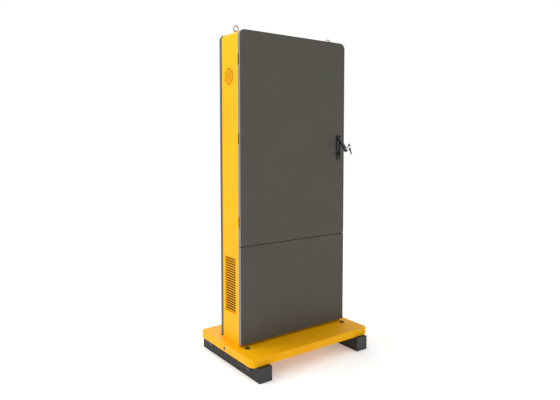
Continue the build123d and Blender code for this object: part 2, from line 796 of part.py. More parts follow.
def rod_guide(side, z):
    """Moulded block on the door skin with a window for the rod."""
    x = handle_x + side * pin_reach
    half = rod_width / 2
    body = block(x - half - 6, x + half + 6, rod_y - 3, door_face - sheet, z - 7, z + 7)
    window = block(x - half - fit, x + half + fit, rod_y - fit, rod_y + rod_sheet + fit, z - 7, z + 7)
    return body - window


def latch_keeper(side, z, foot_low, foot_high):
    """Tongue on the rear frame with a window that the rod enters."""
    x = handle_x + side * pin_reach
    half = rod_width / 2
    back = body_rear - sheet - keeper_sheet
    foot = block(x - half - 5, x + half + 5, back, back + keeper_sheet, foot_low, foot_high)
    tongue = block(x - half - 5, x + half + 5, back, rod_y + rod_sheet + 5, z, z + keeper_sheet)
    window = block(x - half - rod_gap, x + half + rod_gap, rod_y - rod_gap, rod_y + rod_sheet + rod_gap,
                   z, z + keeper_sheet)
    return foot + tongue - window


save("latch_supports", group([latch_bracket()] + [rod_guide(side, z) for side, z in guide_places]))
save("latch_crank", latch_crank())
save("upper_latch_rod", latch_rod(1, upper_tip))
save("lower_latch_rod", latch_rod(-1, lower_tip))
save("latch_keepers", group([
    latch_keeper(1, upper_keeper_z, upper_keeper_z, inner_top - 6),
    latch_keeper(-1, lower_keeper_z, rail_low + 6, lower_keeper_z + keeper_sheet)]))


# ---------------------------------------------------------------- front: bezel, glass, display
window_half = display_width / 2 + window_margin
window_low = display_centre_height - display_height / 2 - window_margin
window_high = display_centre_height + display_height / 2 + window_margin
glass_lap = 14.0
fascia_half = 270.0
fascia_low = base_top + 632
fascia_high = fascia_low + 220
fascia_sheet = 4.0
fascia_lap = 12.0


def front_panel():
    """Front panel folded like the door, with openings for the glass and the pay fascia."""
    half = cabinet_width / 2
    outside = slab(half, panel_bottom, panel_top, corner_radius, 3, front_face, body_front - panel_gap)
    hollow = slab(half - sheet, panel_bottom + sheet, panel_top - sheet, corner_radius - sheet, 1,
                  front_face + sheet, body_front - panel_gap)
    panel = outside - hollow
    panel -= block(-window_half, window_half, front_face, front_face + sheet, window_low, window_high)
    panel -= block(-fascia_half, fascia_half, front_face, front_face + sheet, fascia_low, fascia_high)
    return panel


def front_spacers():
    """Strips that carry the front panel on the front frame."""
    pieces = []
    y0, y1 = front_face + sheet, body_front
    for side in sides:
        edge = side * (inner_half - 4)
        inner = side * (inner_half - 22)
        pieces.append(block(edge, inner, y0, y1, panel_bottom + 40, panel_top - 60))
    return pieces


def front_glass():
    """Toughened pane behind the front panel's window."""
    y0 = front_face + sheet
    return block(-window_half - glass_lap, window_half + glass_lap, y0, y0 + glass_thickness,
                 window_low - glass_lap, window_high + glass_lap)


display_front = front_face + sheet + glass_thickness + 4
display_back = display_front + display_thickness


def display_panel():
    """Display module: a shallow metal tray with its raised electronics cover."""
    half_w, half_h = display_width / 2, display_height / 2
    z = display_centre_height
    body = block(-half_w, half_w, display_front, display_back - 12, z - half_h, z + half_h)
    cover = block(-half_w + 90, half_w - 90, display_back - 12, display_back, z - 300, z + 300)
    return body + cover


def glass_seal():
    """Foam frame between the glass and the display."""
    half_w, half_h = display_width / 2, display_height / 2
    z = display_centre_height
    y0, y1 = front_face + sheet + glass_thickness, display_front
    return (block(-half_w, half_w, y0, y1, z - half_h, z + half_h)
            - block(-half_w + 12, half_w - 12, y0, y1, z - half_h + 12, z + half_h - 12))


mount_rail = 40.0


def display_rail(z):
    """Cross rail from side to side of the wrap, behind the display."""
    rail = block(-inner_half, inner_half, display_back, display_back + 20, z - mount_rail / 2, z + mount_rail / 2)
    hollow = block(-inner_half, inner_half, display_back + 2, display_back + 20, z - mount_rail / 2 + 2,
                   z + mount_rail / 2 - 2)
    return rail - hollow


rail_places = (display_centre_height - 260, grille_height - fan_size / 2 - 62)
save("front_panel", front_panel())
front_ring = frame_ring(body_front, body_front + sheet, base_top + floor_sheet, base_top + 50)
save("front_frame", group([front_ring] + front_spacers()))
save("front_glass", front_glass())
save("fixed_seals", group([glass_seal(), lower_gasket]))
save("display_panel", display_panel())


# ---------------------------------------------------------------- pay fascia and what it carries
fascia_back = front_face + sheet + fascia_sheet
device_z = fascia_low + 110     # reader, scanner and receipt outlet
reader_x, reader_z = 165.0, device_z
reader_half_x, reader_half_z = 46.0, 58.0
reader_stand = 9.0           # in front of the panel's face
reader_depth = 34.0
scanner_x, scanner_z = 25.0, device_z
scanner_half_x, scanner_half_z = 40.0, 30.0
outlet_x, outlet_z = -120.0, device_z
outlet_half_x, outlet_half_z = 44.0, 10.0
button_x, button_z = -222.0, fascia_low + 155
button_radius = 14.0
button_travel = 4.0
bezel_radius = 20.0
speaker_x, speaker_z = -222.0, fascia_low + 80
speaker_radius = 28.0


def pay_fascia():
    """Plate behind the front panel's lower opening, cut out for each device."""
    y0 = front_face + sheet
    plate = block(-fascia_half - fascia_lap, fascia_half + fascia_lap, y0, fascia_back,
                  fascia_low - fascia_lap, fascia_high + fascia_lap)
    cuts = [(reader_x, reader_z, reader_half_x, reader_half_z),
            (scanner_x, scanner_z, scanner_half_x, scanner_half_z),
            (outlet_x, outlet_z, outlet_half_x + 6, outlet_half_z + 6)]
    for x, z, half_x, half_z in cuts:
        plate -= block(x - half_x - fit, x + half_x + fit, y0, fascia_back, z - half_z - fit, z + half_z + fit)
    plate -= bar_y(button_radius + 2 + fit, button_x, y0, fascia_back, button_z)
    holes = [bar_y(1.6, speaker_x, y0, fascia_back, speaker_z)]
    for ring in (1, 2):
        for step in range(6 * ring):
            spot = Vector(8 * ring, 0).rotate(Axis.Z, 60 * step / ring)
            holes.append(bar_y(1.6, speaker_x + spot.X, y0, fascia_back, speaker_z + spot.Y))
    return plate - holes


def device_box(x, z, half_x, half_z, front, depth, lip):
    """Housing set into the fascia from behind, with a lip against the plate's back."""
    body = block(x - half_x, x + half_x, front, front + depth, z - half_z, z + half_z)
    body = fillet(body.edges().filter_by(Axis.Y), 6)
    flange_plate = block(x - half_x - lip, x + half_x + lip, fascia_back, fascia_back + 3,
                         z - half_z - lip, z + half_z + lip)
    return body + flange_plate


def card_reader():
    """Contactless reader housing with a recess for its pad."""
    front = front_face - reader_stand
    body = device_box(reader_x, reader_z, reader_half_x, reader_half_z, front, reader_depth, 8)
    return body - block(reader_x - 38, reader_x + 38, front, front + 3, reader_z - 50, reader_z + 50)


def reader_pad():
    """Glossy pad that the card is held against."""
    front = front_face - reader_stand
    return block(reader_x - 38 + fit, reader_x + 38 - fit, front + 0.5, front + 3,
                 reader_z - 50 + fit, reader_z + 50 - fit)


def scanner():
    """Code scanner housing, hollow in front behind its window."""
    front = front_face + sheet - 1
    body = device_box(scanner_x, scanner_z, scanner_half_x, scanner_half_z, front, 46, 8)
    return body - block(scanner_x - 34, scanner_x + 34, front, front + 30, scanner_z - 24, scanner_z + 24)


def scanner_window():
    """Clear window let into the scanner's mouth."""
    front = front_face + sheet + 1
    return block(scanner_x - 34 + fit, scanner_x + 34 - fit, front, front + 3,
                 scanner_z - 24 + fit, scanner_z + 24 - fit)


flap_axis_y = front_face - 3.0
flap_axis_z = outlet_z + outlet_half_z + 4
flap_pin = 1.5
flap_sheet = 2.0


def receipt_outlet():
    """Framed mouth for the receipt, with a chute behind it and ears for the flap."""
    x0, x1 = outlet_x - outlet_half_x, outlet_x + outlet_half_x
    z0, z1 = outlet_z - outlet_half_z, outlet_z + outlet_half_z
    frame = block(x0 - 6, x1 + 6, front_face - 1, fascia_back + 22, z0 - 6, z1 + 6)
    frame += block(x0 - 14, x1 + 14, fascia_back, fascia_back + 3, z0 - 14, z1 + 14)
    frame -= block(x0, x1, front_face - 1, fascia_back + 22, z0, z1)
    for side in sides:
        edge = outlet_x + side * (outlet_half_x + 6)
        inner = outlet_x + side * (outlet_half_x + 1.5)
        frame += block(min(edge, inner), max(edge, inner), flap_axis_y - 3.5, front_face - 1,
                       flap_axis_z - 4, flap_axis_z + 2)
    return frame - bar_x(flap_pin + running, x0 - 6, x1 + 6, flap_axis_y, flap_axis_z)


def receipt_flap():
    """Flap that hangs over the mouth from its own two pins."""
    half = outlet_half_x + 1
    flap = block(outlet_x - half, outlet_x + half, flap_axis_y - flap_sheet / 2, flap_axis_y + flap_sheet / 2,
                 outlet_z - outlet_half_z - 3, flap_axis_z)
    flap += bar_x(1.8, outlet_x - half, outlet_x + half, flap_axis_y, flap_axis_z)
    return flap + bar_x(flap_pin, outlet_x - half - 4.5, outlet_x + half + 4.5, flap_axis_y, flap_axis_z)


roll_radius = 36.0
roll_half = 40.0
roll_y = fascia_back + 92
roll_z = outlet_z + 62
spindle_half = roll_half + 2
roll_bore = 8.0
platen_radius = 7.0
platen_y = fascia_back + 36
platen_z = outlet_z - platen_radius - 1
cheek_sheet = 3.0
cheek_half = roll_half + 3.0


def receipt_printer():
    """Printer frame: two cheeks, a floor, a back and the roll's spindle."""
    y0, y1 = fascia_back + 23, roll_y + roll_radius + 6
    z0, z1 = outlet_z - 30, roll_z + roll_radius + 6
    frame = block(outlet_x - cheek_half - cheek_sheet, outlet_x + cheek_half + cheek_sheet, y0, y1, z0, z0 + 3)
    for side in sides:
        inner = outlet_x + side * cheek_half
        outer = inner + side * cheek_sheet
        cheek = block(min(inner, outer), max(inner, outer), y0, y1, z0, z1)
        cheek -= bar_x(3 + running, min(inner, outer), max(inner, outer), platen_y, platen_z)
        frame += cheek
    head = block(outlet_x - cheek_half, outlet_x + cheek_half, platen_y + 12, platen_y + 26, outlet_z - 27,
                 outlet_z - 4)
    return frame + head + bar_x(roll_bore, outlet_x - cheek_half, outlet_x + cheek_half, roll_y, roll_z)


def printer_shelf():
    """Angle under the printer, fixed to the fascia's back."""
    low = outlet_z - 30
    return (block(outlet_x - 40, outlet_x + 40, fascia_back, roll_y + roll_radius, low - 3, low)
            + block(outlet_x - 40, outlet_x + 40, fascia_back, fascia_back + 3, low - 40, low))


def paper_roll():
    """Full roll of receipt paper on its core."""
    roll = bar_x(roll_radius, outlet_x - roll_half, outlet_x + roll_half, roll_y, roll_z)
    return roll - bar_x(roll_bore + running, outlet_x - roll_half, outlet_x + roll_half, roll_y, roll_z)


def platen_roller():
    """Rubber-covered roller that draws the paper."""
    roller = bar_x(platen_radius, outlet_x - roll_half, outlet_x + roll_half, platen_y, platen_z)
    end = cheek_half + cheek_sheet
    return roller + bar_x(3, outlet_x - end, outlet_x + end, platen_y, platen_z)


def button_bezel():
    """Ring and switch body of the help button."""
    front = front_face - 1
    bezel = bar_y(bezel_radius, button_x, front, front_face + sheet, button_z)
    bezel += bar_y(button_radius + 2, button_x, front_face + sheet, fascia_back + 26, button_z)
    return bezel - bar_y(button_radius + running, button_x, front, fascia_back + 18, button_z)


def help_button():
    """Round button, proud of its ring by a little more than its travel."""
    front = front_face - 1 - button_travel - 2
    button = bar_y(button_radius, button_x, front, fascia_back + 18 - button_travel - 1, button_z)
    return fillet(button.edges().group_by(Axis.Y)[0], 2)


save("pay_fascia", pay_fascia())
save("card_reader", card_reader())
save("reader_pad", reader_pad())
save("code_scanner", scanner())
save("scanner_window", scanner_window())
save("receipt_outlet", receipt_outlet())
save("receipt_flap", receipt_flap())
save("receipt_printer", receipt_printer() + printer_shelf())
save("paper_roll", paper_roll())
save("platen_roller", platen_roller())
save("button_bezel", button_bezel())
save("help_button", help_button())
save("intercom_speaker", bar_y(speaker_radius, speaker_x, fascia_back, fascia_back + 14, speaker_z))


# ---------------------------------------------------------------- electronics on their plate
plate_front = display_back + 20
plate_back = plate_front + sheet
rail_depth = 7.5
breaker_x = -120.0
breaker_z = rail_places[0] + 80
box_low = rail_places[0] + 210     # computer and power supply
box_high = box_low + 160
breaker_half = 18.0
breaker_depth = 58.0
toggle_radius = 8.0
toggle_half = 14.0
toggle_angle = 28.0


def equipment_plate():
    """Mounting plate bolted to the display rails."""
    return block(-210, 210, plate_front, plate_back, rail_places[0] - 10, rail_places[1] + 10)


def din_rail():
    """Hat rail for the breaker and the terminals."""
    y0, y1 = plate_back, plate_back + rail_depth
    rail = block(-180, 180, y0, y0 + 1, breaker_z - 13, breaker_z + 13)
    for side in sides:
        z = breaker_z + side * 12.5
        rail += block(-180, 180, y0, y1, z - 0.5, z + 0.5)
        lip = breaker_z + side * 17.5
        rail += block(-180, 180, y1 - 1, y1, min(z, lip), max(z, lip))
    return rail


breaker_back = plate_back + rail_depth
toggle_y = breaker_back + breaker_depth - 10


def breaker():
    """Two-pole breaker: wide foot, narrower nose, and a bearing for its toggle."""
    x0, x1 = breaker_x - breaker_half, breaker_x + breaker_half
    body = block(x0, x1, breaker_back, breaker_back + 44, breaker_z - 42, breaker_z + 42)
    body += block(x0, x1, breaker_back, breaker_back + breaker_depth, breaker_z - 22, breaker_z + 22)
    body -= bar_x(toggle_radius + running, breaker_x - toggle_half - 1, breaker_x + toggle_half + 1, toggle_y,
                  breaker_z)
    window = block(breaker_x - toggle_half - 1, breaker_x + toggle_half + 1, toggle_y, toggle_y + 20,
                   breaker_z - 12, breaker_z + 12)
    return body - window


def breaker_toggle():
    """Barrel with a finger tab, shown switched on."""
    x0, x1 = breaker_x - toggle_half, breaker_x + toggle_half
    barrel = bar_x(toggle_radius, x0, x1, toggle_y, breaker_z)
    tab = block(x0 + 2, x1 - 2, toggle_y, toggle_y + 20, breaker_z - 2.5, breaker_z + 2.5)
    return (barrel + tab).rotate(Axis((0, toggle_y, breaker_z), (1, 0, 0)), toggle_angle)


def terminal_blocks():
    """Row of terminals on the rail."""
    pieces = []
    for index in range(8):
        x = -40 + 12 * index
        pieces.append(block(x, x + 11, breaker_back, breaker_back + 36, breaker_z - 24, breaker_z + 24))
    return pieces


def computer():
    """Finned control computer."""
    body = block(-150, 60, plate_back, plate_back + 40, box_low, box_high)
    for index in range(12):
        x = -142 + 17 * index
        body += block(x, x + 3, plate_back + 40, plate_back + 52, box_low + 10, box_high - 10)
    return body


def cable_entry():
    """Ring that lines the way in for the mains and data leads."""
    ring = bar_z(cable_hole + 8, cable_hole_x, cable_hole_y, base_top + floor_sheet, base_top + floor_sheet + 5)
    ring += bar_z(cable_hole - fit, cable_hole_x, cable_hole_y, base_top - base_sheet - 4,
                  base_top + floor_sheet)
    return ring - bar_z(cable_hole - 7, cable_hole_x, cable_hole_y, base_top - base_sheet - 4,
                        base_top + floor_sheet + 5)


save("equipment_frame", group([equipment_plate(), din_rail()] + [display_rail(z) for z in rail_places]))
save("breaker", breaker())
save("breaker_toggle", breaker_toggle())
save("terminal_blocks", group(terminal_blocks()))
save("control_computer", computer())
save("power_supply", block(90, 190, plate_back, plate_back + 36, box_low, box_high))
save("cable_entry", cable_entry())
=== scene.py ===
import math

import bmesh
import bpy
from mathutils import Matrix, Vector


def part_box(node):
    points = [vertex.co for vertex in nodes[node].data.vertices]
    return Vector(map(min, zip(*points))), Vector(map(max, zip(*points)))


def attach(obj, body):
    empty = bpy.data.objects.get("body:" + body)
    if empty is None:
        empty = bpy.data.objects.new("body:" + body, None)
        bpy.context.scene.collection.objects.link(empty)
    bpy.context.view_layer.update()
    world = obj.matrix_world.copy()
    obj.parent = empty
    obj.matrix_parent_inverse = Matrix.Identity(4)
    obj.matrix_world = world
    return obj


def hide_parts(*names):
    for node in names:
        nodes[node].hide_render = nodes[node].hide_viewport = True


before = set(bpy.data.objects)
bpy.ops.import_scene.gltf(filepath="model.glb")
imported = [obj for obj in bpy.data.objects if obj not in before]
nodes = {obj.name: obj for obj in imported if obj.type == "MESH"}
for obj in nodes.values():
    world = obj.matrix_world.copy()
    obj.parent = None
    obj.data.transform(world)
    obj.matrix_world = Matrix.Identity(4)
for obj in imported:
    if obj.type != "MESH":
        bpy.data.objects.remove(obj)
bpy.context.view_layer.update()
scene = bpy.context.scene
scene.view_settings.view_transform = "Standard"

# ---------------------------------------------------------------- the view
# A camera at chest height, behind the cabinet and to one side of it, looking at the service door.
eye = Vector((2.0865, 2.7909, 1.4269))
heading = 0.6327
dip = 0.0598
camera_data = bpy.data.cameras.new("camera")
camera_data.lens = 33.04
camera_data.shift_y = -0.05
camera = bpy.data.objects.new("camera", camera_data)
level = Vector((-math.sin(heading), -math.cos(heading), 0))
camera.location = eye
look = level * math.cos(dip) - Vector((0, 0, 1)) * math.sin(dip)
camera.rotation_euler = look.to_track_quat("-Z", "Y").to_euler()
scene.collection.objects.link(camera)
scene.camera = camera


# ---------------------------------------------------------------- floor and studio light
# A pale plain floor, a white surround, one large soft light over the side wall and weaker ones
# for the door and the roof.
def studio_light(name, place, target, size, power, colour):
    data = bpy.data.lights.new(name, "AREA")
    data.shape = "RECTANGLE"
    data.size, data.size_y = size
    data.energy = power
    data.color = colour
    light = bpy.data.objects.new(name, data)
    light.location = place
    light.rotation_euler = (Vector(target) - Vector(place)).to_track_quat("-Z", "Y").to_euler()
    scene.collection.objects.link(light)


world = bpy.data.worlds.new("surround")
world.use_nodes = True
scene.world = world
surround = world.node_tree
backdrop = surround.nodes["Background"]
backdrop.inputs["Color"].default_value = (1, 1, 1, 1)
seen_or_felt = surround.nodes.new("ShaderNodeLightPath")
brightness = surround.nodes.new("ShaderNodeMapRange")
brightness.inputs["To Min"].default_value = 0.84
brightness.inputs["To Max"].default_value = 1.0
surround.links.new(seen_or_felt.outputs["Is Camera Ray"], brightness.inputs["Value"])
surround.links.new(brightness.outputs["Result"], backdrop.inputs["Strength"])

floor_mesh = bpy.data.meshes.new("floor")
floor_mesh.from_pydata([(-60, -60, 0), (60, -60, 0), (60, 60, 0), (-60, 60, 0)], [], [(0, 1, 2, 3)])
floor = bpy.data.objects.new("floor", floor_mesh)
scene.collection.objects.link(floor)
floor_paint = bpy.data.materials.new("pale_floor")
floor_paint.use_nodes = True
floor_shader = floor_paint.node_tree.nodes["Principled BSDF"]
floor_shader.inputs["Base Color"].default_value = (0.93, 0.93, 0.93, 1)
floor_shader.inputs["Roughness"].default_value = 0.9
floor_shader.inputs["Emission Color"].default_value = (1, 1, 1, 1)
floor_shader.inputs["Emission Strength"].default_value = 0.24
floor_mesh.materials.append(floor_paint)

studio_light("side_softbox", (3.9, -1.7, 3.6), (0.4, 0, 0.6), (2.4, 2.6), 75, (1, 0.99, 0.95))
studio_light("roof_softbox", (1.4, -1.2, 4.6), (0.2, 0, 0), (2.2, 2.2), 45, (1, 0.99, 0.96))
studio_light("front_softbox", (-1.6, -3.8, 2.4), (0, 0, 1.2), (2.4, 2.4), 30, (0.98, 0.99, 1))


# ---------------------------------------------------------------- yellow wrap
# The cabinet's sides and roof are one 2 mm steel sheet with rounded top corners, powder
# coated yellow. It stands on the base tray and both panels close it.
def shader_links(name):
    """A new material and short ways to add and join its nodes."""
    material = bpy.data.materials.new(name)
    material.use_nodes = True
    tree = material.node_tree
    shader = tree.nodes["Principled BSDF"]

    def node(kind, **values):
        made = tree.nodes.new(kind)
        for key, value in values.items():
            if hasattr(made, key):
                setattr(made, key, value)
            else:
                made.inputs[key.replace("_", " ").title()].default_value = value
        return made

    return material, tree, shader, node


def speckle(tree, node, scale, low, high, detail=2.0, stretch=(1, 1, 1)):
    """Noise on object coordinates, spread between two values."""
    place = node("ShaderNodeTexCoord")
    turn = node("ShaderNodeMapping")
    turn.inputs["Scale"].default_value = stretch
    tree.links.new(place.outputs["Object"], turn.inputs["Vector"])
    noise = node("ShaderNodeTexNoise")
    noise.inputs["Scale"].default_value = scale
    noise.inputs["Detail"].default_value = detail
    tree.links.new(turn.outputs["Vector"], noise.inputs["Vector"])
    spread = node("ShaderNodeMapRange")
    spread.inputs["From Min"].default_value = 0.3
    spread.inputs["From Max"].default_value = 0.7
    spread.inputs["To Min"].default_value = low
    spread.inputs["To Max"].default_value = high
    tree.links.new(noise.outputs["Fac"], spread.inputs["Value"])
    return spread.outputs["Result"]


def tinted(tree, node, shader, colour, shade, factor):
    """Base colour that drifts from `colour` to `shade` by a factor."""
    mix = node("ShaderNodeMix", data_type="RGBA")
    mix.inputs["A"].default_value = (*colour, 1)
    mix.inputs["B"].default_value = (*shade, 1)
    tree.links.new(factor, mix.inputs["Factor"])
    tree.links.new(mix.outputs["Result"], shader.inputs["Base Color"])
    return mix


def bumped(tree, node, shader, height, distance, strength=1.0):
    """Bump from a height value, in metres."""
    bump = node("ShaderNodeBump")
    bump.inputs["Distance"].default_value = distance
    bump.inputs["Strength"].default_value = strength
    tree.links.new(height, bump.inputs["Height"])
    tree.links.new(bump.outputs["Normal"], shader.inputs["Normal"])


def powder_coat(name, colour, shade, roughness, texture=0.00012):
    """Baked powder paint: fine orange peel, slow drift of tone and a little dust."""
    material, tree, shader, node = shader_links(name)
    tinted(tree, node, shader, colour, shade, speckle(tree, node, 3.5, 0, 1, 3))
    tree.links.new(speckle(tree, node, 45, roughness - 0.05, roughness + 0.08, 4), shader.inputs["Roughness"])
    bumped(tree, node, shader, speckle(tree, node, 700, 0, 1, 1), texture, 0.35)
    shader.inputs["Specular IOR Level"].default_value = 0.12
    return material


yellow = powder_coat("yellow_powder_coat", (0.89, 0.435, 0.001), (0.86, 0.395, 0.001), 0.46)


def softened(name, width, material, body, around=math.radians(28)):
    """A copy of a CAD piece with its sharp edges rounded, to stand for it."""
    mesh = nodes[name].data.copy()
    mesh.name = name + "_finish"
    work = bmesh.new()
    work.from_mesh(mesh)
    bmesh.ops.remove_doubles(work, verts=work.verts, dist=1e-6)
    bmesh.ops.dissolve_limit(work, angle_limit=math.radians(1), verts=work.verts, edges=work.edges)
    work.to_mesh(mesh)
    work.free()
    mesh.polygons.foreach_set("use_smooth", [True] * len(mesh.polygons))
    piece = bpy.data.objects.new(name + "_finish", mesh)
    scene.collection.objects.link(piece)
    bevel = piece.modifiers.new("edges", "BEVEL")
    bevel.width = width
    bevel.segments = 2
    bevel.limit_method = "ANGLE"
    bevel.angle_limit = around
    flats = piece.modifiers.new("flats", "WEIGHTED_NORMAL")
    flats.mode = "FACE_AREA"
    flats.weight = 100
    return settled(piece, material, body, name)


def settled(piece, material, body, *stands_for):
    """Turn a piece with live modifiers into a plain mesh, paint it and fix it to its body."""
    bpy.context.view_layer.update()
    mesh = bpy.data.meshes.new_from_object(piece.evaluated_get(bpy.context.evaluated_depsgraph_get()))
    piece.modifiers.clear()
    piece.data = mesh
    if material is not None:
        mesh.materials.clear()
        mesh.materials.append(material)
    if not mesh.has_custom_normals:
        mesh.polygons.foreach_set("use_smooth", [True] * len(mesh.polygons))
        mesh.set_sharp_from_angle(angle=math.radians(32))
    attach(piece, body)
    if stands_for:
        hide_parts(*stands_for)
    return piece


def paint(material, *names):
    """Give CAD pieces their finish."""
    for name in names:
        mesh = nodes[name].data
        mesh.materials.clear()
        mesh.materials.append(material)


softened("cabinet_shell", 0.0006, yellow, "cabinet")
softened("cabinet_floor", 0.0006, yellow, "cabinet")
paint(yellow, "rear_frame", "front_frame")


# ---------------------------------------------------------------- louvres
# Each side wall has a framed stack of sloping steel slats low down, where air comes in. The
# frame is spot welded behind the sheet, and a foam filter hangs behind it.
def new_tree(name, **inputs):
    """A Geometry Nodes tree with named inputs, and short ways to add and join its nodes."""
    tree = bpy.data.node_groups.new(name, "GeometryNodeTree")
    kinds = {int: "NodeSocketInt", float: "NodeSocketFloat", tuple: "NodeSocketVector",
             bpy.types.Material: "NodeSocketMaterial", bpy.types.Object: "NodeSocketObject"}
    for key, value in inputs.items():
        socket = tree.interface.new_socket(key, in_out="INPUT", socket_type=kinds[type(value)])
        if not isinstance(value, (bpy.types.Material, bpy.types.Object)):
            socket.default_value = value
    tree.interface.new_socket("Geometry", in_out="OUTPUT", socket_type="NodeSocketGeometry")
    entry = tree.nodes.new("NodeGroupInput")

    def node(kind, sockets=None, **settings):
        made = tree.nodes.new(kind)
        for key, value in settings.items():
            setattr(made, key, value)
        for key, value in (sockets or {}).items():
            if isinstance(value, bpy.types.NodeSocket):
                tree.links.new(value, made.inputs[key])
            else:
                made.inputs[key].default_value = value
        return made

    return tree, entry, node


def grown(name, tree, entry, node, result, inputs):
    """Run a tree on an empty mesh and give back the object, with every input set by its identifier."""
    real = node("GeometryNodeRealizeInstances", {"Geometry": result})
    painted = node("GeometryNodeSetMaterial", {"Geometry": real.outputs[0],
                                               "Material": entry.outputs["material"]})
    exit_node = tree.nodes.new("NodeGroupOutput")
    tree.links.new(painted.outputs["Geometry"], exit_node.inputs["Geometry"])
    piece = bpy.data.objects.new(name, bpy.data.meshes.new(name))
    scene.collection.objects.link(piece)
    modifier = piece.modifiers.new("grown", "NODES")
    modifier.node_group = tree
    for item in tree.interface.items_tree:
        if item.in_out == "INPUT" and item.name in inputs:
            modifier[item.identifier] = inputs[item.name]
    return piece


def louvre_slats(name, low, high, reach, material):
    """Stack of rolled-edge slats between two heights; `reach` gives the inner and outer X."""
    count, depth, thickness, tilt = 22, 0.0190, 0.0020, math.radians(40)
    pitch = (high.z - low.z) / count
    inputs = dict(count=count, pitch=pitch, length=high.y - low.y, depth=depth, thickness=thickness,
                  tilt=tilt if reach[1] > 0 else -tilt, material=material)
    tree, entry, node = new_tree(name, **inputs)
    section = node("GeometryNodeCurvePrimitiveQuadrilateral",
                   {"Width": entry.outputs["thickness"], "Height": entry.outputs["depth"]})
    rolled = node("GeometryNodeFilletCurve", {"Curve": section.outputs[0], "Radius": thickness * 0.45,
                                              "Count": 3}, mode="POLY")
    span = node("ShaderNodeCombineXYZ", {"Y": entry.outputs["length"]})
    edge = node("GeometryNodeCurvePrimitiveLine", {"End": span.outputs[0]})
    slat = node("GeometryNodeCurveToMesh", {"Curve": edge.outputs[0], "Profile Curve": rolled.outputs[0],
                                            "Fill Caps": True})
    lean = node("ShaderNodeCombineXYZ", {"Y": entry.outputs["tilt"]})
    leaning = node("GeometryNodeTransform", {"Geometry": slat.outputs[0], "Rotation": lean.outputs[0]})
    step = node("ShaderNodeCombineXYZ", {"Z": entry.outputs["pitch"]})
    first = ((reach[0] + reach[1]) / 2, low.y, low.z + pitch / 2)
    line = node("GeometryNodeMeshLine", {"Count": entry.outputs["count"], "Offset": step.outputs[0],
                                         "Start Location": first})
    stack = node("GeometryNodeInstanceOnPoints", {"Points": line.outputs[0], "Instance": leaning.outputs[0]})
    return grown(name, tree, entry, node, stack.outputs[0], inputs)


def louvre_frame(name, low, high, wall, back):
    """Folded frame behind the opening: a flat rim and four cheeks, in one sheet."""
    work = bmesh.new()
    rim, sheet = 0.010, 0.0012
    loops = []
    for grow, x in ((rim, wall), (0, wall), (0, back)):
        corners = [(x, low.y - grow, low.z - grow), (x, high.y + grow, low.z - grow),
                   (x, high.y + grow, high.z + grow), (x, low.y - grow, high.z + grow)]
        loops.append([work.verts.new(corner) for corner in corners])
    for outer, inner in zip(loops, loops[1:]):
        for k in range(4):
            work.faces.new((outer[k], outer[(k + 1) % 4], inner[(k + 1) % 4], inner[k]))
    if wall < 0:
        bmesh.ops.reverse_faces(work, faces=work.faces)
    mesh = bpy.data.meshes.new(name)
    work.to_mesh(mesh)
    work.free()
    piece = bpy.data.objects.new(name, mesh)
    scene.collection.objects.link(piece)
    shell = piece.modifiers.new("sheet", "SOLIDIFY")
    shell.thickness = sheet
    shell.offset = 0
    return piece


wrap_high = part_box("cabinet_shell")[1]
opening_low = Vector((0, -0.071, 0.333))
opening_high = Vector((0, 0.056, 0.692))
wall_sheet = 0.002
paint_gap = 0.0007
slat_stack_depth = 0.013
side_names = {1: "right", -1: "left"}
for side, side_name in side_names.items():
    wall = side * (wrap_high.x - wall_sheet - paint_gap)
    back = wall - side * slat_stack_depth
    slats = louvre_slats("louvre_slats_" + side_name, opening_low, opening_high, (back, wall), yellow)
    settled(slats, yellow, "cabinet", "louvres")
    surround_sheet = louvre_frame("louvre_frame_" + side_name, opening_low, opening_high, wall, back)
    settled(surround_sheet, yellow, "cabinet", "louvres")


# ---------------------------------------------------------------- round grilles
# High on each side wall the warm air leaves through a round perforated plate, held in the
# opening by a pressed rim. The holes are punched in a staggered pattern.
def punched_cell(name, pitch, hole, thickness):
    """One hexagonal cell of perforated sheet with its round hole, lying in the YZ plane."""
    work = bmesh.new()
    corner = pitch / math.sqrt(3)
    rings = []
    for x in (thickness / 2, -thickness / 2):
        outer, inner = [], []
        for k in range(12):
            turn = math.radians(30 * k)
            reach = corner if k % 2 else pitch / 2
            outer.append(work.verts.new((x, reach * math.cos(turn), reach * math.sin(turn))))
            inner.append(work.verts.new((x, hole * math.cos(turn), hole * math.sin(turn))))
        rings.append((outer, inner))
    (front, front_hole), (back, back_hole) = rings
    for k in range(12):
        n = (k + 1) % 12
        work.faces.new((front[k], front[n], front_hole[n], front_hole[k]))
        work.faces.new((back[k], back_hole[k], back_hole[n], back[n]))
        work.faces.new((front_hole[k], front_hole[n], back_hole[n], back_hole[k]))
    mesh = bpy.data.meshes.new(name)
    work.to_mesh(mesh)
    work.free()
    return bpy.data.objects.new(name, mesh)


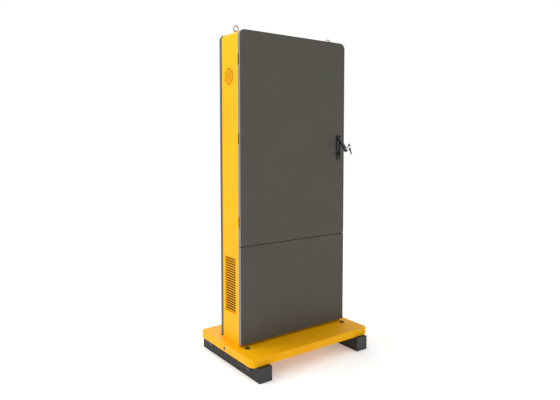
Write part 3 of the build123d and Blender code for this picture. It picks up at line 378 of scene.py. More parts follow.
def perforated_disc(name, centre, radius, material):
    """Cells laid on a staggered grid, kept where they fit inside the radius."""
    pitch, hole, thickness = 0.0082, 0.0027, 0.0015
    cell = punched_cell(name + "_cell", pitch, hole, thickness)
    scene.collection.objects.link(cell)
    rows = int(radius / (pitch * math.sqrt(3) / 2)) + 1
    inputs = dict(pitch=pitch, radius=radius, cell=cell, material=material)
    tree, entry, node = new_tree(name, **inputs)
    count = 2 * rows + 1
    row_step = pitch * math.sqrt(3) / 2
    field = node("GeometryNodeMeshGrid", {"Size X": (count - 1) * pitch, "Size Y": (count - 1) * row_step,
                                          "Vertices X": count, "Vertices Y": count})
    index = node("GeometryNodeInputIndex")
    row = node("ShaderNodeMath", {0: index.outputs[0], 1: float(count)}, operation="MODULO")
    odd = node("ShaderNodeMath", {0: row.outputs[0], 1: 2.0}, operation="MODULO")
    shift = node("ShaderNodeMath", {0: odd.outputs[0], 1: pitch / 2}, operation="MULTIPLY")
    offset = node("ShaderNodeCombineXYZ", {"X": shift.outputs[0]})
    staggered = node("GeometryNodeSetPosition",
                     {"Geometry": field.outputs["Mesh"], "Offset": offset.outputs[0]})
    place = node("GeometryNodeInputPosition")
    length = node("ShaderNodeVectorMath", {0: place.outputs[0]}, operation="LENGTH")
    limit = node("ShaderNodeMath", {0: entry.outputs["radius"], 1: pitch * 0.5}, operation="SUBTRACT")
    outside = node("ShaderNodeMath", {0: length.outputs["Value"], 1: limit.outputs[0]},
                   operation="GREATER_THAN")
    kept = node("GeometryNodeDeleteGeometry",
                {"Geometry": staggered.outputs[0], "Selection": outside.outputs[0]})
    upright = node("GeometryNodeTransform", {"Geometry": kept.outputs[0],
                                             "Rotation": (math.pi / 2, 0, math.pi / 2),
                                             "Translation": tuple(centre)})
    shape = node("GeometryNodeObjectInfo", {"Object": entry.outputs["cell"]})
    cells = node("GeometryNodeInstanceOnPoints", {"Points": upright.outputs[0],
                                                  "Instance": shape.outputs["Geometry"]})
    piece = grown(name, tree, entry, node, cells.outputs[0], inputs)
    bpy.context.view_layer.update()
    mesh = bpy.data.meshes.new_from_object(piece.evaluated_get(bpy.context.evaluated_depsgraph_get()))
    bpy.data.objects.remove(cell)
    piece.modifiers.clear()
    work = bmesh.new()
    work.from_mesh(mesh)
    bmesh.ops.remove_doubles(work, verts=work.verts, dist=2e-5)
    bmesh.ops.holes_fill(work, edges=[], sides=0)
    work.to_mesh(mesh)
    work.free()
    piece.data = mesh
    return piece


def turned(name, outline, axis_point, axis, steps=72):
    """A lathed piece: (radius, along) points spun about an axis."""
    work = bmesh.new()
    turn = Vector((0, 0, 1)).rotation_difference(Vector(axis)).to_matrix()
    ring_count = len(outline)
    rings = []
    for radius, along in outline:
        ring = []
        for k in range(steps):
            angle = 2 * math.pi * k / steps
            point = turn @ Vector((radius * math.cos(angle), radius * math.sin(angle), along))
            ring.append(work.verts.new(point + Vector(axis_point)))
        rings.append(ring)
    for a in range(ring_count):
        b = (a + 1) % ring_count
        for k in range(steps):
            n = (k + 1) % steps
            work.faces.new((rings[a][k], rings[a][n], rings[b][n], rings[b][k]))
    bmesh.ops.remove_doubles(work, verts=work.verts, dist=1e-7)
    bmesh.ops.recalc_face_normals(work, faces=work.faces)
    mesh = bpy.data.meshes.new(name)
    work.to_mesh(mesh)
    work.free()
    piece = bpy.data.objects.new(name, mesh)
    scene.collection.objects.link(piece)
    return piece


grille_low, grille_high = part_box("fan_grilles")
grille_radius = (grille_high.z - grille_low.z) / 2
grille_z = (grille_high.z + grille_low.z) / 2
grille_y = (grille_high.y + grille_low.y) / 2
for side, side_name in side_names.items():
    outer = wrap_high.x
    centre = Vector((side * (outer - 0.0012), grille_y, grille_z))
    disc = perforated_disc("grille_plate_" + side_name, centre, grille_radius - 0.0035, yellow)
    settled(disc, yellow, "cabinet", "fan_grilles")
    r = grille_radius
    rim_outline = [(r - 0.0060, -0.0018), (r, -0.0018), (r, -0.0004), (r - 0.0008, 0), (r - 0.0030, 0),
                   (r - 0.0045, -0.0003), (r - 0.0060, -0.0009)]
    rim = turned("grille_rim_" + side_name, rim_outline, (side * outer, grille_y, grille_z), (side, 0, 0))
    settled(rim, yellow, "cabinet", "fan_grilles")


# ---------------------------------------------------------------- grey door and panels
# The service door, the fixed panel under it and the front panel are folded steel pans, powder coated dark
# grey. Their folded edges carry a painted highlight: their colour is made lighter and bluer than the faces.
def coat_with_painted_edge_highlight(name, face_colour, painted_highlight_colour, roughness):
    """Powder coat whose sideways folds are painted a little lighter and bluer than the flat faces, as a
    painted highlight.
    """
    material = powder_coat(name, face_colour, tuple(0.9 * c for c in face_colour), roughness)
    tree = material.node_tree
    shader = tree.nodes["Principled BSDF"]
    drift = shader.inputs["Base Color"].links[0].from_socket
    facing = tree.nodes.new("ShaderNodeTexCoord")
    parts = tree.nodes.new("ShaderNodeSeparateXYZ")
    tree.links.new(facing.outputs["Normal"], parts.inputs[0])
    sideways = tree.nodes.new("ShaderNodeMath")
    sideways.operation = "ABSOLUTE"
    tree.links.new(parts.outputs["X"], sideways.inputs[0])
    # painted highlight: faces turned sideways blend towards the lighter, bluer edge colour
    painted_highlight_mask = tree.nodes.new("ShaderNodeMapRange")
    painted_highlight_mask.inputs["From Min"].default_value = 0.55
    painted_highlight_mask.inputs["From Max"].default_value = 0.95
    tree.links.new(sideways.outputs[0], painted_highlight_mask.inputs["Value"])
    mix = tree.nodes.new("ShaderNodeMix")
    mix.data_type = "RGBA"
    mix.inputs["B"].default_value = (*painted_highlight_colour, 1)
    tree.links.new(painted_highlight_mask.outputs["Result"], mix.inputs["Factor"])
    tree.links.new(drift, mix.inputs["A"])
    tree.links.new(mix.outputs["Result"], shader.inputs["Base Color"])
    return material


# The second colour of each coat is the painted highlight on the sideways folds.
grey = coat_with_painted_edge_highlight("grey_powder_coat", (0.090, 0.084, 0.070), (0.20, 0.205, 0.235), 0.5)
front_grey = coat_with_painted_edge_highlight("front_grey_powder_coat", (0.090, 0.084, 0.070), (0.085, 0.108, 0.135), 0.5)
softened("rear_door", 0.0011, grey, "service_door")
softened("lower_rear_panel", 0.0011, grey, "cabinet")
softened("front_panel", 0.0011, front_grey, "cabinet")
paint(grey, "hinge_body_leaves")


# ---------------------------------------------------------------- base tray, plugs and skids
# The tray is folded from 3 mm plate and painted like the wrap. Rubber plugs close the way down
# to the anchor bolts. Two black square tubes with moulded caps carry it, held by zinc angles.
def scuffed_paint(name, colour, scuff, roughness, amount):
    """Thin paint with pale scuffs and uneven gloss."""
    material, tree, shader, node = shader_links(name)
    marks = speckle(tree, node, 26, -1.6, 1.0, 5, (1, 0.35, 1))
    cut = node("ShaderNodeMath", operation="MULTIPLY", use_clamp=True)
    cut.inputs[1].default_value = amount
    tree.links.new(marks, cut.inputs[0])
    tinted(tree, node, shader, colour, scuff, cut.outputs[0])
    tree.links.new(speckle(tree, node, 60, roughness, roughness + 0.25, 4), shader.inputs["Roughness"])
    bumped(tree, node, shader, speckle(tree, node, 300, 0, 1, 4), 0.0002, 0.4)
    return material


def rubber(name, colour, roughness):
    """Moulded rubber or foam: dull, with a fine matt grain and a dusting."""
    material, tree, shader, node = shader_links(name)
    worn = tuple(0.6 * c + 0.02 for c in colour)
    tinted(tree, node, shader, colour, worn, speckle(tree, node, 30, 0, 1, 3))
    gloss = speckle(tree, node, 120, roughness - 0.08, roughness + 0.06, 2)
    tree.links.new(gloss, shader.inputs["Roughness"])
    bumped(tree, node, shader, speckle(tree, node, 900, 0, 1, 1), 0.00015, 0.5)
    return material


def plated_steel(name, colour, shade, roughness, grain=(1, 1, 12)):
    """Plated or galvanised steel with a drifting tint and fine drawn grain."""
    material, tree, shader, node = shader_links(name)
    shader.inputs["Metallic"].default_value = 1.0
    tinted(tree, node, shader, colour, shade, speckle(tree, node, 55, 0, 1, 4))
    tree.links.new(speckle(tree, node, 220, roughness - 0.07, roughness + 0.12, 3, grain),
                   shader.inputs["Roughness"])
    bumped(tree, node, shader, speckle(tree, node, 420, 0, 1, 2, grain), 0.00008, 0.4)
    return material


skid_paint = scuffed_paint("black_skid_paint", (0.0075, 0.0075, 0.0075), (0.05, 0.048, 0.045), 0.5, 0.25)
plug_rubber = rubber("plug_rubber", (0.018, 0.018, 0.018), 0.72)
cap_plastic = rubber("cap_plastic", (0.014, 0.014, 0.015), 0.5)
zinc = plated_steel("zinc_plate", (0.72, 0.71, 0.68), (0.55, 0.55, 0.56), 0.32)
softened("base_tray", 0.0012, yellow, "cabinet")
softened("base_plugs", 0.0006, plug_rubber, "cabinet")
softened("skid_beams", 0.0028, skid_paint, "cabinet")
softened("skid_end_caps", 0.0016, cap_plastic, "cabinet")
# The zinc angles on the skids get a near-black colour: painted shade for the shadow under the tray's
# overhang, where they stand.
shade_darkened_zinc = plated_steel("zinc_with_painted_shade", (0.045, 0.045, 0.047), (0.09, 0.09, 0.09), 0.45, (1, 1, 1))
softened("skid_brackets", 0.0007, shade_darkened_zinc, "cabinet")
tray_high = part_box("base_tray")[1]
for side in (1, -1):
    plug = turned("end_hole_plug_" + ("right" if side > 0 else "left"),
                  [(0.0001, -0.0090), (0.0080, -0.0090), (0.0092, -0.0060), (0.0100, -0.0032),
                   (0.0100, -0.0006),
                   (0.0094, -0.0001), (0.0060, -0.0004), (0.0001, -0.0006)],
                  (side * tray_high.x, 0, tray_high.z - 0.028), (side, 0, 0), 40)
    settled(plug, plug_rubber, "cabinet")


# ---------------------------------------------------------------- lifting eyes
# Two forged M12 eyes, yellow passivated, screw down through the roof and stand across it.
passivated = plated_steel("yellow_passivated_zinc", (0.58, 0.47, 0.24), (0.40, 0.40, 0.38), 0.3, (1, 1, 1))


def forged_eye(name, low, high):
    """Ring of round bar that thickens into its collar, in the plane across the cabinet."""
    work = bmesh.new()
    centre_x = (low.x + high.x) / 2
    bar = 0.0045
    ring = 0.018
    centre_z = high.z - ring - bar
    around, across = 48, 16
    loops = []
    for k in range(around):
        turn = 2 * math.pi * k / around
        foot = max(0.0, -math.cos(turn)) ** 6
        radius = bar * (1 + 0.28 * foot)
        loop = []
        for j in range(across):
            lean = 2 * math.pi * j / across
            reach = ring + radius * math.cos(lean) - bar * 0.28 * foot
            loop.append(work.verts.new((centre_x + reach * math.sin(turn), radius * math.sin(lean),
                                        centre_z + reach * math.cos(turn))))
        loops.append(loop)
    for k in range(around):
        for j in range(across):
            n, m = (k + 1) % around, (j + 1) % across
            work.faces.new((loops[k][j], loops[k][m], loops[n][m], loops[n][j]))
    bmesh.ops.recalc_face_normals(work, faces=work.faces)
    mesh = bpy.data.meshes.new(name)
    work.to_mesh(mesh)
    work.free()
    piece = bpy.data.objects.new(name, mesh)
    scene.collection.objects.link(piece)
    return piece


eye_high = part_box("lifting_eyes")[1]
roof = wrap_high.z
for side, side_name in side_names.items():
    span = 0.0225
    middle = side * (eye_high.x - span)
    ring = forged_eye("lifting_ring_" + side_name, Vector((middle - span, 0, roof)),
                      Vector((middle + span, 0, eye_high.z)))
    settled(ring, passivated, "cabinet", "lifting_eyes")
    collar = turned("lifting_collar_" + side_name,
                    [(0.0001, -0.0155), (0.0050, -0.0155), (0.0058, -0.0145), (0.0058, 0.0), (0.0130, 0.0),
                     (0.0130, 0.0026), (0.0118, 0.0038), (0.0085, 0.0048), (0.0070, 0.0070),
                     (0.0001, 0.0078)],
                    (middle, 0, roof), (0, 0, 1), 40)
    settled(collar, passivated, "cabinet", "lifting_eyes")


# ---------------------------------------------------------------- screws and nuts
# Zinc hexagon heads hold the brackets to the skids, the floor to the tray, the lower panel to
# its studs and the eyes to the roof. They are bought parts, pressed with a chamfered washer face.
def hex_heads(name, places, axis, across, height, material, washer=1.45):
    """Chamfered hexagon heads with a washer under each, at `places`, standing along `axis`."""
    inputs = dict(across=across, height=height, washer=washer * across / 2, material=material)
    tree, entry, node = new_tree(name, **inputs)
    half = node("ShaderNodeMath", {0: entry.outputs["across"], 1: 0.57735}, operation="MULTIPLY")
    hexagon = node("GeometryNodeMeshCone", {"Vertices": 6, "Radius Bottom": half.outputs[0],
                                            "Radius Top": half.outputs[0], "Depth": entry.outputs["height"]})
    chamfer = node("ShaderNodeMath", {0: entry.outputs["across"], 1: 0.5}, operation="MULTIPLY")
    crown_drop = node("ShaderNodeCombineXYZ", {"Z": entry.outputs["height"]})
    crown = node("GeometryNodeMeshCone", {"Vertices": 24, "Radius Bottom": chamfer.outputs[0],
                                          "Radius Top": across * 0.40, "Depth": across * 0.06})
    crown_up = node("GeometryNodeTransform", {"Geometry": crown.outputs["Mesh"],
                                              "Translation": crown_drop.outputs[0]})
    washer_disc = node("GeometryNodeMeshCone", {"Vertices": 32, "Radius Bottom": entry.outputs["washer"],
                                                "Radius Top": entry.outputs["washer"],
                                                "Depth": across * 0.13})
    head = node("GeometryNodeJoinGeometry")
    for part in (hexagon.outputs["Mesh"], crown_up.outputs[0], washer_disc.outputs["Mesh"]):
        tree.links.new(part, head.inputs[0])
    turn = Vector((0, 0, 1)).rotation_difference(Vector(axis)).to_euler()
    stood = node("GeometryNodeTransform", {"Geometry": head.outputs[0], "Rotation": tuple(turn)})
    points = node("GeometryNodeJoinGeometry")
    for place in places:
        spot = node("GeometryNodeMeshLine", {"Count": 1, "Start Location": tuple(place)})
        tree.links.new(spot.outputs[0], points.inputs[0])
    heads = node("GeometryNodeInstanceOnPoints", {"Points": points.outputs[0], "Instance": stood.outputs[0]})
    return grown(name, tree, entry, node, heads.outputs[0], inputs)


def piece_boxes(name):
    """Middle and half size of each separate solid of a CAD node."""
    work = bmesh.new()
    work.from_mesh(nodes[name].data)
    bmesh.ops.remove_doubles(work, verts=work.verts, dist=1e-6)
    seen, boxes = set(), []
    for start in work.verts:
        if start.index in seen:
            continue
        pile, group = [start], []
        seen.add(start.index)
        while pile:
            vert = pile.pop()
            group.append(vert.co.copy())
            for edge in vert.link_edges:
                other = edge.other_vert(vert)
                if other.index not in seen:
                    seen.add(other.index)
                    pile.append(other)
        low = Vector(min(p[k] for p in group) for k in range(3))
        high = Vector(max(p[k] for p in group) for k in range(3))
        boxes.append(((low + high) / 2, (high - low) / 2))
    work.free()
    return boxes


paint(zinc, "frame_fasteners", "hinge_pins")
skid_screws = [middle for middle, half in piece_boxes("skid_brackets")]
for side, side_name in side_names.items():
    spots = [Vector((middle.x, middle.y, 0.060)) for middle in skid_screws if middle.x * side > 0]
    face = side * (abs(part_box("skid_beams")[1].x) + 0.004)
    spots = [Vector((face, spot.y, spot.z)) for spot in spots]
    # The heads take the same near-black colour as the angles: painted shade under the tray's overhang.
    settled(hex_heads("skid_screw_heads_" + side_name, spots, (side, 0, 0), 0.013, 0.0066,
                      shade_darkened_zinc), shade_darkened_zinc,
            "cabinet")


# ---------------------------------------------------------------- door frame, seal and hinges
# A ring of channel stiffens the door pan and carries a foam seal that meets the rear frame.
foam_rubber = rubber("foam_rubber", (0.020, 0.020, 0.021), 0.85)
paint(grey, "door_frame")
softened("door_gasket", 0.0009, foam_rubber, "service_door")
paint(foam_rubber, "fixed_seals")


# ---------------------------------------------------------------- handle plate and lift lever
# A glass-filled nylon plate is set over the cut-out in the door. Its die-cast lever pivots on a
# steel pin between two ears, and lies in the plate's bed when the door is locked.
def moulded(name, colour, roughness, grain=700):
    """Injection-moulded plastic or painted casting with a fine even texture."""
    material, tree, shader, node = shader_links(name)
    tinted(tree, node, shader, colour, tuple(min(1, 1.25 * c + 0.004) for c in colour),
           speckle(tree, node, 45, 0, 1, 3))
    tree.links.new(speckle(tree, node, 90, roughness - 0.06, roughness + 0.08, 3), shader.inputs["Roughness"])
    bumped(tree, node, shader, speckle(tree, node, grain, 0, 1, 1), 0.00006, 0.5)
    return material


plate_nylon = moulded("black_nylon", (0.010, 0.010, 0.011), 0.46)
lever_coat = moulded("lever_black_coat", (0.008, 0.008, 0.009), 0.26, 400)
softened("handle_plate", 0.0011, plate_nylon, "service_door")
softened("lift_lever", 0.0022, lever_coat, "handle_lever")
softened("handle_fixings", 0.0008, plate_nylon, "service_door")


# ---------------------------------------------------------------- lock and keys
# A chromed cylinder lock is pressed into the lever. Its key stands in it, and two spare keys
# hang from the split ring that runs through the key's bow.
chrome = plated_steel("lock_chrome", (0.78, 0.78, 0.78), (0.66, 0.67, 0.68), 0.16, (1, 1, 1))
nickel = plated_steel("key_nickel", (0.62, 0.60, 0.56), (0.45, 0.44, 0.42), 0.28, (1, 3, 1))
softened("lock_barrel", 0.0008, chrome, "handle_lever")
softened("lock_plug", 0.0004, chrome, "lock")
softened("lock_key", 0.0003, nickel, "lock")
softened("spare_keys", 0.0003, nickel, "key_bunch")


# ---------------------------------------------------------------- rod latch inside the door
# A crank on a spindle throws two flat steel rods up and down through guides into keepers. The
# parts are pressed from zinc-plated strip and greased where they slide.
latch_zinc = plated_steel("latch_zinc", (0.66, 0.63, 0.50), (0.56, 0.58, 0.58), 0.34, (1, 1, 6))
for latch_piece, latch_body in (("latch_supports", "service_door"), ("latch_crank", "crank"),
                                ("upper_latch_rod", "upper_rod"), ("lower_latch_rod", "lower_rod"),
                                ("latch_keepers", "cabinet")):
    softened(latch_piece, 0.0005, latch_zinc, latch_body)


# ---------------------------------------------------------------- fans and filters
# Two 120 mm axial fans, moulded in black plastic, blow out through the round grilles. Coarse
# open-cell foam lies behind the louvres.
def fan_blades(name, centre, side, material):
    """Seven swept blades round a hub: arched strips, thinner towards the trailing edge."""
    work = bmesh.new()
    spans, chords = 9, 7
    inner, outer, depth = 0.0205, 0.0528, 0.020
    grid = {}
    for i in range(spans):
        u = i / (spans - 1)
        radius = inner + (outer - inner) * u
        sweep = 0.30 * u * u
        half_chord = (0.40 + 0.06 * u) * (1 - 0.15 * u)
        for j in range(chords):
            v = j / (chords - 1)
            angle = sweep + half_chord * (v - 0.5) * 1.55
            along = depth * (v - 0.5) * (1 - 0.28 * u) + 0.0022 * math.sin(math.pi * v)
            for skin in (0, 1):
                lift = (0.0009 - 0.0005 * abs(v - 0.4)) * (1 if skin else -1)
                grid[i, j, skin] = work.verts.new(
                    (along + lift, radius * math.sin(angle), radius * math.cos(angle)))
    for i in range(spans - 1):
        for j in range(chords - 1):
            work.faces.new([grid[a, b, 0] for a, b in ((i, j), (i + 1, j), (i + 1, j + 1), (i, j + 1))])
            work.faces.new([grid[a, b, 1] for a, b in ((i, j), (i, j + 1), (i + 1, j + 1), (i + 1, j))])
    edge_loop = ([(i, 0) for i in range(spans)] + [(spans - 1, j) for j in range(1, chords)]
                 + [(i, chords - 1) for i in range(spans - 2, -1, -1)]
                 + [(0, j) for j in range(chords - 2, 0, -1)])
    for k, (a, b) in enumerate(edge_loop):
        c, d = edge_loop[(k + 1) % len(edge_loop)]
        work.faces.new([grid[a, b, 0], grid[a, b, 1], grid[c, d, 1], grid[c, d, 0]])
    bmesh.ops.recalc_face_normals(work, faces=work.faces)
    blade_mesh = bpy.data.meshes.new(name + "_blade")
    work.to_mesh(blade_mesh)
    work.free()
    blade = bpy.data.objects.new(name + "_blade", blade_mesh)
    scene.collection.objects.link(blade)
    inputs = dict(blade=blade, count=7, centre=tuple(centre), material=material)
    tree, entry, node = new_tree(name, **inputs)
    shape = node("GeometryNodeObjectInfo", {"Object": entry.outputs["blade"]})
    spots = node("GeometryNodeMeshLine", {"Count": entry.outputs["count"], "Offset": (0, 0, 0)})
    index = node("GeometryNodeInputIndex")
    step = node("ShaderNodeMath", {0: index.outputs[0], 1: 2 * math.pi / 7}, operation="MULTIPLY")
    turn = node("ShaderNodeCombineXYZ", {"X": step.outputs[0]})
    round_hub = node("GeometryNodeInstanceOnPoints", {"Points": spots.outputs[0],
                                                      "Instance": shape.outputs["Geometry"],
                                                      "Rotation": turn.outputs[0]})
    moved = node("GeometryNodeTransform", {"Geometry": round_hub.outputs[0],
                                           "Translation": entry.outputs["centre"]})
    piece = grown(name, tree, entry, node, moved.outputs[0], inputs)
    return piece, blade


fan_plastic = moulded("fan_plastic", (0.012, 0.012, 0.012), 0.5)
filter_foam = rubber("filter_foam", (0.045, 0.047, 0.050), 0.92)
softened("fan_housings", 0.0008, fan_plastic, "cabinet")
paint(filter_foam, "dust_filters")
for side, side_name in side_names.items():
    low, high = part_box("fan_rotor_" + side_name)
    middle = (low + high) / 2
    blades, pattern = fan_blades("fan_blades_" + side_name, middle, side, fan_plastic)
    settled(blades, fan_plastic, side_name + "_fan", "fan_rotor_" + side_name)
    bpy.data.objects.remove(pattern)
    half = (high.x - low.x) / 2
    hub = turned("fan_hub_" + side_name,
                 [(0.0034, -half), (0.0200, -half), (0.0218, -half + 0.0018), (0.0218, half - 0.0030),
                  (0.0200, half - 0.0008), (0.0120, half), (0.0060, half - 0.0006), (0.0034, half - 0.0006)],
                 tuple(middle), (side, 0, 0), 48)
    settled(hub, fan_plastic, side_name + "_fan", "fan_rotor_" + side_name)


# ---------------------------------------------------------------- display behind its glass
# A 43 inch sunlight display hangs on two rails behind a sheet of toughened glass. The glass has
# a black fired-on border. The screen is switched off.
def clear_glass(name, tint, roughness):
    """Toughened glass with a thin tint."""
    material, tree, shader, node = shader_links(name)
    tinted(tree, node, shader, tint, tuple(0.96 * c for c in tint), speckle(tree, node, 8, 0, 1, 1))
    tree.links.new(speckle(tree, node, 60, roughness, roughness + 0.03, 3), shader.inputs["Roughness"])
    shader.inputs["Transmission Weight"].default_value = 1.0
    shader.inputs["IOR"].default_value = 1.45
    return material


def lit_panel(name, colour, glow):
    """Dark liquid-crystal layer behind an anti-glare film."""
    material, tree, shader, node = shader_links(name)
    tinted(tree, node, shader, colour, glow, speckle(tree, node, 3, 0, 1, 2))
    tree.links.new(speckle(tree, node, 240, 0.18, 0.26, 2), shader.inputs["Roughness"])
    bumped(tree, node, shader, speckle(tree, node, 2600, 0, 1, 0), 0.00002, 0.3)
    return material


glass = clear_glass("toughened_glass", (0.93, 0.96, 0.95), 0.01)
screen_black = lit_panel("screen_black", (0.006, 0.007, 0.010), (0.012, 0.014, 0.020))
border_black = moulded("border_enamel", (0.004, 0.004, 0.004), 0.2, 300)
softened("front_glass", 0.0006, glass, "cabinet")
softened("display_panel", 0.0015, screen_black, "cabinet")
glass_low, glass_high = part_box("front_glass")
panel_low, panel_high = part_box("display_panel")


def flat_ring(name, outer, inner, y, thickness, corner):
    """Flat rectangular ring facing the customer, with rounded inner corners."""
    work = bmesh.new()

    def outline(low_x, high_x, low_z, high_z, radius):
        points = []
        for cx, cz, start in ((high_x - radius, high_z - radius, 0), (low_x + radius, high_z - radius, 1),
                              (low_x + radius, low_z + radius, 2), (high_x - radius, low_z + radius, 3)):
            for k in range(9):
                angle = (start + k / 8) * math.pi / 2
                points.append((cx + radius * math.cos(angle), cz + radius * math.sin(angle)))
        return points

    rows = []
    for box, radius, depth in ((outer, 0.001, y), (inner, corner, y), (inner, corner, y + thickness),
                               (outer, 0.001, y + thickness)):
        rows.append([work.verts.new((x, depth, z)) for x, z in outline(*box, radius)])
    for a in range(4):
        b = (a + 1) % 4
        for k in range(len(rows[0])):
            n = (k + 1) % len(rows[0])
            work.faces.new((rows[a][k], rows[a][n], rows[b][n], rows[b][k]))
    bmesh.ops.recalc_face_normals(work, faces=work.faces)
    mesh = bpy.data.meshes.new(name)
    work.to_mesh(mesh)
    work.free()
    piece = bpy.data.objects.new(name, mesh)
    scene.collection.objects.link(piece)
    return piece


sight = 0.012
border = flat_ring("glass_border",
                   (glass_low.x + 0.001, glass_high.x - 0.001, glass_low.z + 0.001, glass_high.z - 0.001),
                   (panel_low.x + sight, panel_high.x - sight, panel_low.z + sight, panel_high.z - sight),
                   glass_high.y + 0.0001, 0.0004, 0.003)
settled(border, border_black, "cabinet")


# ---------------------------------------------------------------- pay fascia and its devices
# Under the screen a black plate closes the lower window of the front panel. It carries the
# contactless reader, code scanner, receipt outlet, help button and intercom.
def tinted_window(name, colour, roughness):
    """Deep-dyed acrylic window."""
    material, tree, shader, node = shader_links(name)
    tinted(tree, node, shader, colour, tuple(0.7 * c for c in colour), speckle(tree, node, 40, 0, 1, 2))
    tree.links.new(speckle(tree, node, 120, roughness, roughness + 0.05, 2), shader.inputs["Roughness"])
    shader.inputs["Coat Weight"].default_value = 0.6
    return material


fascia_plastic = moulded("fascia_plastic", (0.013, 0.013, 0.014), 0.38)
device_plastic = moulded("device_plastic", (0.020, 0.020, 0.022), 0.48)
reader_gloss = tinted_window("reader_gloss", (0.006, 0.006, 0.007), 0.10)
scanner_red = tinted_window("scanner_red", (0.16, 0.006, 0.005), 0.08)
button_blue = tinted_window("button_blue", (0.012, 0.085, 0.42), 0.20)
softened("pay_fascia", 0.0005, fascia_plastic, "cabinet")
softened("card_reader", 0.0018, device_plastic, "cabinet")
softened("reader_pad", 0.0004, reader_gloss, "cabinet")
softened("code_scanner", 0.0012, device_plastic, "cabinet")
softened("scanner_window", 0.0004, scanner_red, "cabinet")
softened("receipt_outlet", 0.0009, device_plastic, "cabinet")
softened("receipt_flap", 0.0005, tinted_window("flap_smoke", (0.03, 0.032, 0.035), 0.12), "flap")
softened("button_bezel", 0.0012, chrome, "cabinet")


def target_arcs(name, centre, radii, width, height, material):
    """Raised arcs on the reader's pad that show where to hold a card or phone."""
    inputs = dict(width=width, height=height, material=material)
    tree, entry, node = new_tree(name, **inputs)
    joined = node("GeometryNodeJoinGeometry")
    section = node("GeometryNodeCurvePrimitiveQuadrilateral", {"Width": entry.outputs["height"],
                                                               "Height": entry.outputs["width"]})
    for radius in radii:
        arc = node("GeometryNodeCurveArc", {"Resolution": 28, "Radius": radius,
                                            "Start Angle": math.radians(50),
                                            "Sweep Angle": math.radians(80)})
        strip = node("GeometryNodeCurveToMesh", {"Curve": arc.outputs[0], "Profile Curve": section.outputs[0],
                                                 "Fill Caps": True})
        tree.links.new(strip.outputs[0], joined.inputs[0])
    stood = node("GeometryNodeTransform", {"Geometry": joined.outputs[0], "Translation": tuple(centre),
                                           "Rotation": (math.pi / 2, 0, 0)})
    return grown(name, tree, entry, node, stood.outputs[0], inputs)


mark_grey = moulded("mark_grey", (0.42, 0.43, 0.44), 0.4)
pad_low, pad_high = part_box("reader_pad")
pad_middle = (pad_low + pad_high) / 2
arcs = target_arcs("reader_target", (pad_middle.x, pad_low.y - 0.0001, pad_middle.z - 0.022),
                   (0.012, 0.021, 0.030, 0.039), 0.0026, 0.0006, mark_grey)
settled(arcs, mark_grey, "cabinet")
button_low, button_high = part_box("help_button")
button_middle = (button_low + button_high) / 2
reach = button_high.y - button_low.y
button_radius = (button_high.x - button_low.x) / 2
button_cap = turned("help_button_cap",
                    [(0.0001, 0), (button_radius, 0), (button_radius, reach - 0.0016),
                     (button_radius - 0.0006, reach - 0.0005), (button_radius - 0.0016, reach),
                     (button_radius * 0.72, reach - 0.0002), (button_radius * 0.42, reach - 0.0009),
                     (0.0001, reach - 0.0012)],
                    (button_middle.x, button_high.y, button_middle.z), (0, -1, 0), 56)
settled(button_cap, button_blue, "button", "help_button")
speaker_low, speaker_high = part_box("intercom_speaker")
speaker_middle = (speaker_low + speaker_high) / 2
speaker_radius = (speaker_high.x - speaker_low.x) / 2
speaker_deep = speaker_high.y - speaker_low.y
speaker = turned("intercom_speaker_body",
                 [(0.0001, 0), (speaker_radius * 0.5, 0), (speaker_radius * 0.55, 0.004),
                  (speaker_radius * 0.9, speaker_deep - 0.003), (speaker_radius, speaker_deep - 0.003),
                  (speaker_radius, speaker_deep), (speaker_radius * 0.88, speaker_deep),
                  (speaker_radius * 0.80, speaker_deep - 0.0015),
                  (speaker_radius * 0.45, speaker_deep - 0.004),
                  (0.0001, speaker_deep - 0.0025)],
                 (speaker_middle.x, speaker_high.y, speaker_middle.z), (0, -1, 0), 56)
settled(speaker, device_plastic, "cabinet", "intercom_speaker")


# ---------------------------------------------------------------- receipt printer
# A folded steel frame on the fascia holds the thermal head, the rubber platen and the roll.
def wound_paper(name, colour, axis_point):
    """Thermal paper: white, with fine rings on the ends of the roll."""
    material, tree, shader, node = shader_links(name)
    place = node("ShaderNodeTexCoord")
    centre = node("ShaderNodeMapping")
    centre.inputs["Location"].default_value = tuple(-c for c in axis_point)
    tree.links.new(place.outputs["Object"], centre.inputs["Vector"])
    flat = node("ShaderNodeMapping")
    flat.inputs["Scale"].default_value = (0, 1, 1)
    tree.links.new(centre.outputs["Vector"], flat.inputs["Vector"])
    rings = node("ShaderNodeTexWave")
    rings.wave_type = "RINGS"
    rings.rings_direction = "X"
    rings.inputs["Scale"].default_value = 420
    rings.inputs["Distortion"].default_value = 0.6
    tree.links.new(flat.outputs["Vector"], rings.inputs["Vector"])
    tinted(tree, node, shader, colour, tuple(0.86 * c for c in colour), rings.outputs["Fac"])
    tree.links.new(speckle(tree, node, 90, 0.55, 0.7, 2), shader.inputs["Roughness"])
    bumped(tree, node, shader, rings.outputs["Fac"], 0.00006, 0.5)
    return material


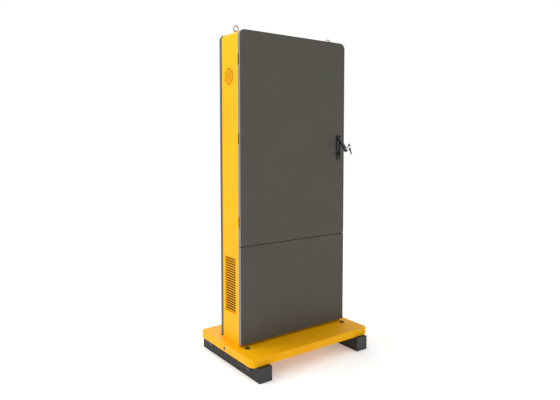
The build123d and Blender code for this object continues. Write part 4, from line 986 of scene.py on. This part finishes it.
galvanised = plated_steel("galvanised_sheet", (0.60, 0.62, 0.64), (0.48, 0.50, 0.53), 0.38, (1, 1, 1))
platen_rubber = rubber("platen_rubber", (0.035, 0.035, 0.037), 0.6)
roll_low, roll_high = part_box("paper_roll")
roll_middle = (roll_low + roll_high) / 2
roll_half = (roll_high.x - roll_low.x) / 2
roll_radius = (roll_high.z - roll_low.z) / 2
paper_white = wound_paper("thermal_paper", (0.86, 0.86, 0.84), roll_middle)
softened("receipt_printer", 0.0005, galvanised, "cabinet")
bore = 0.0081
paper = turned("paper_roll_wound",
               [(bore, -roll_half), (roll_radius - 0.0008, -roll_half), (roll_radius, -roll_half + 0.0008),
                (roll_radius, roll_half - 0.0008), (roll_radius - 0.0008, roll_half), (bore, roll_half)],
               tuple(roll_middle), (1, 0, 0), 96)
settled(paper, paper_white, "roll", "paper_roll")
softened("platen_roller", 0.0004, platen_rubber, "platen")


# ---------------------------------------------------------------- electronics on the mounting plate
# The plate hangs on the display rails and carries the finned computer, power supply, and on a
# 35 mm rail the breaker and terminals, for the technician at the open door.
aluminium = plated_steel("finned_aluminium", (0.50, 0.51, 0.53), (0.42, 0.43, 0.45), 0.42, (12, 1, 1))
breaker_plastic = moulded("breaker_plastic", (0.60, 0.60, 0.57), 0.45)
terminal_grey = moulded("terminal_grey", (0.30, 0.31, 0.30), 0.5)
toggle_black = moulded("toggle_black", (0.014, 0.014, 0.015), 0.35)
softened("equipment_frame", 0.0006, galvanised, "cabinet")
softened("control_computer", 0.0006, aluminium, "cabinet")
softened("power_supply", 0.0010, galvanised, "cabinet")
softened("breaker", 0.0010, breaker_plastic, "cabinet")
softened("breaker_toggle", 0.0010, toggle_black, "toggle")
softened("terminal_blocks", 0.0006, terminal_grey, "cabinet")
softened("cable_entry", 0.0012, plug_rubber, "cabinet")
terminal_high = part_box("terminal_blocks")[1]
terminal_middles = [middle for middle, half in piece_boxes("terminal_blocks")]
terminal_spots = [Vector((middle.x, terminal_high.y - 0.0006, middle.z + shift))
                  for middle in terminal_middles for shift in (-0.016, 0.016)]
settled(hex_heads("terminal_screws", terminal_spots, (0, 1, 0), 0.0046, 0.0008, zinc, 1.2), zinc, "cabinet")
supply_low, supply_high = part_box("power_supply")
supply_spots = [Vector((x, supply_high.y - 0.0002, z)) for x in (supply_low.x + 0.008, supply_high.x - 0.008)
                for z in (supply_low.z + 0.008, supply_high.z - 0.008)]
settled(hex_heads("supply_screws", supply_spots, (0, 1, 0), 0.0055, 0.0022, zinc), zinc, "cabinet")
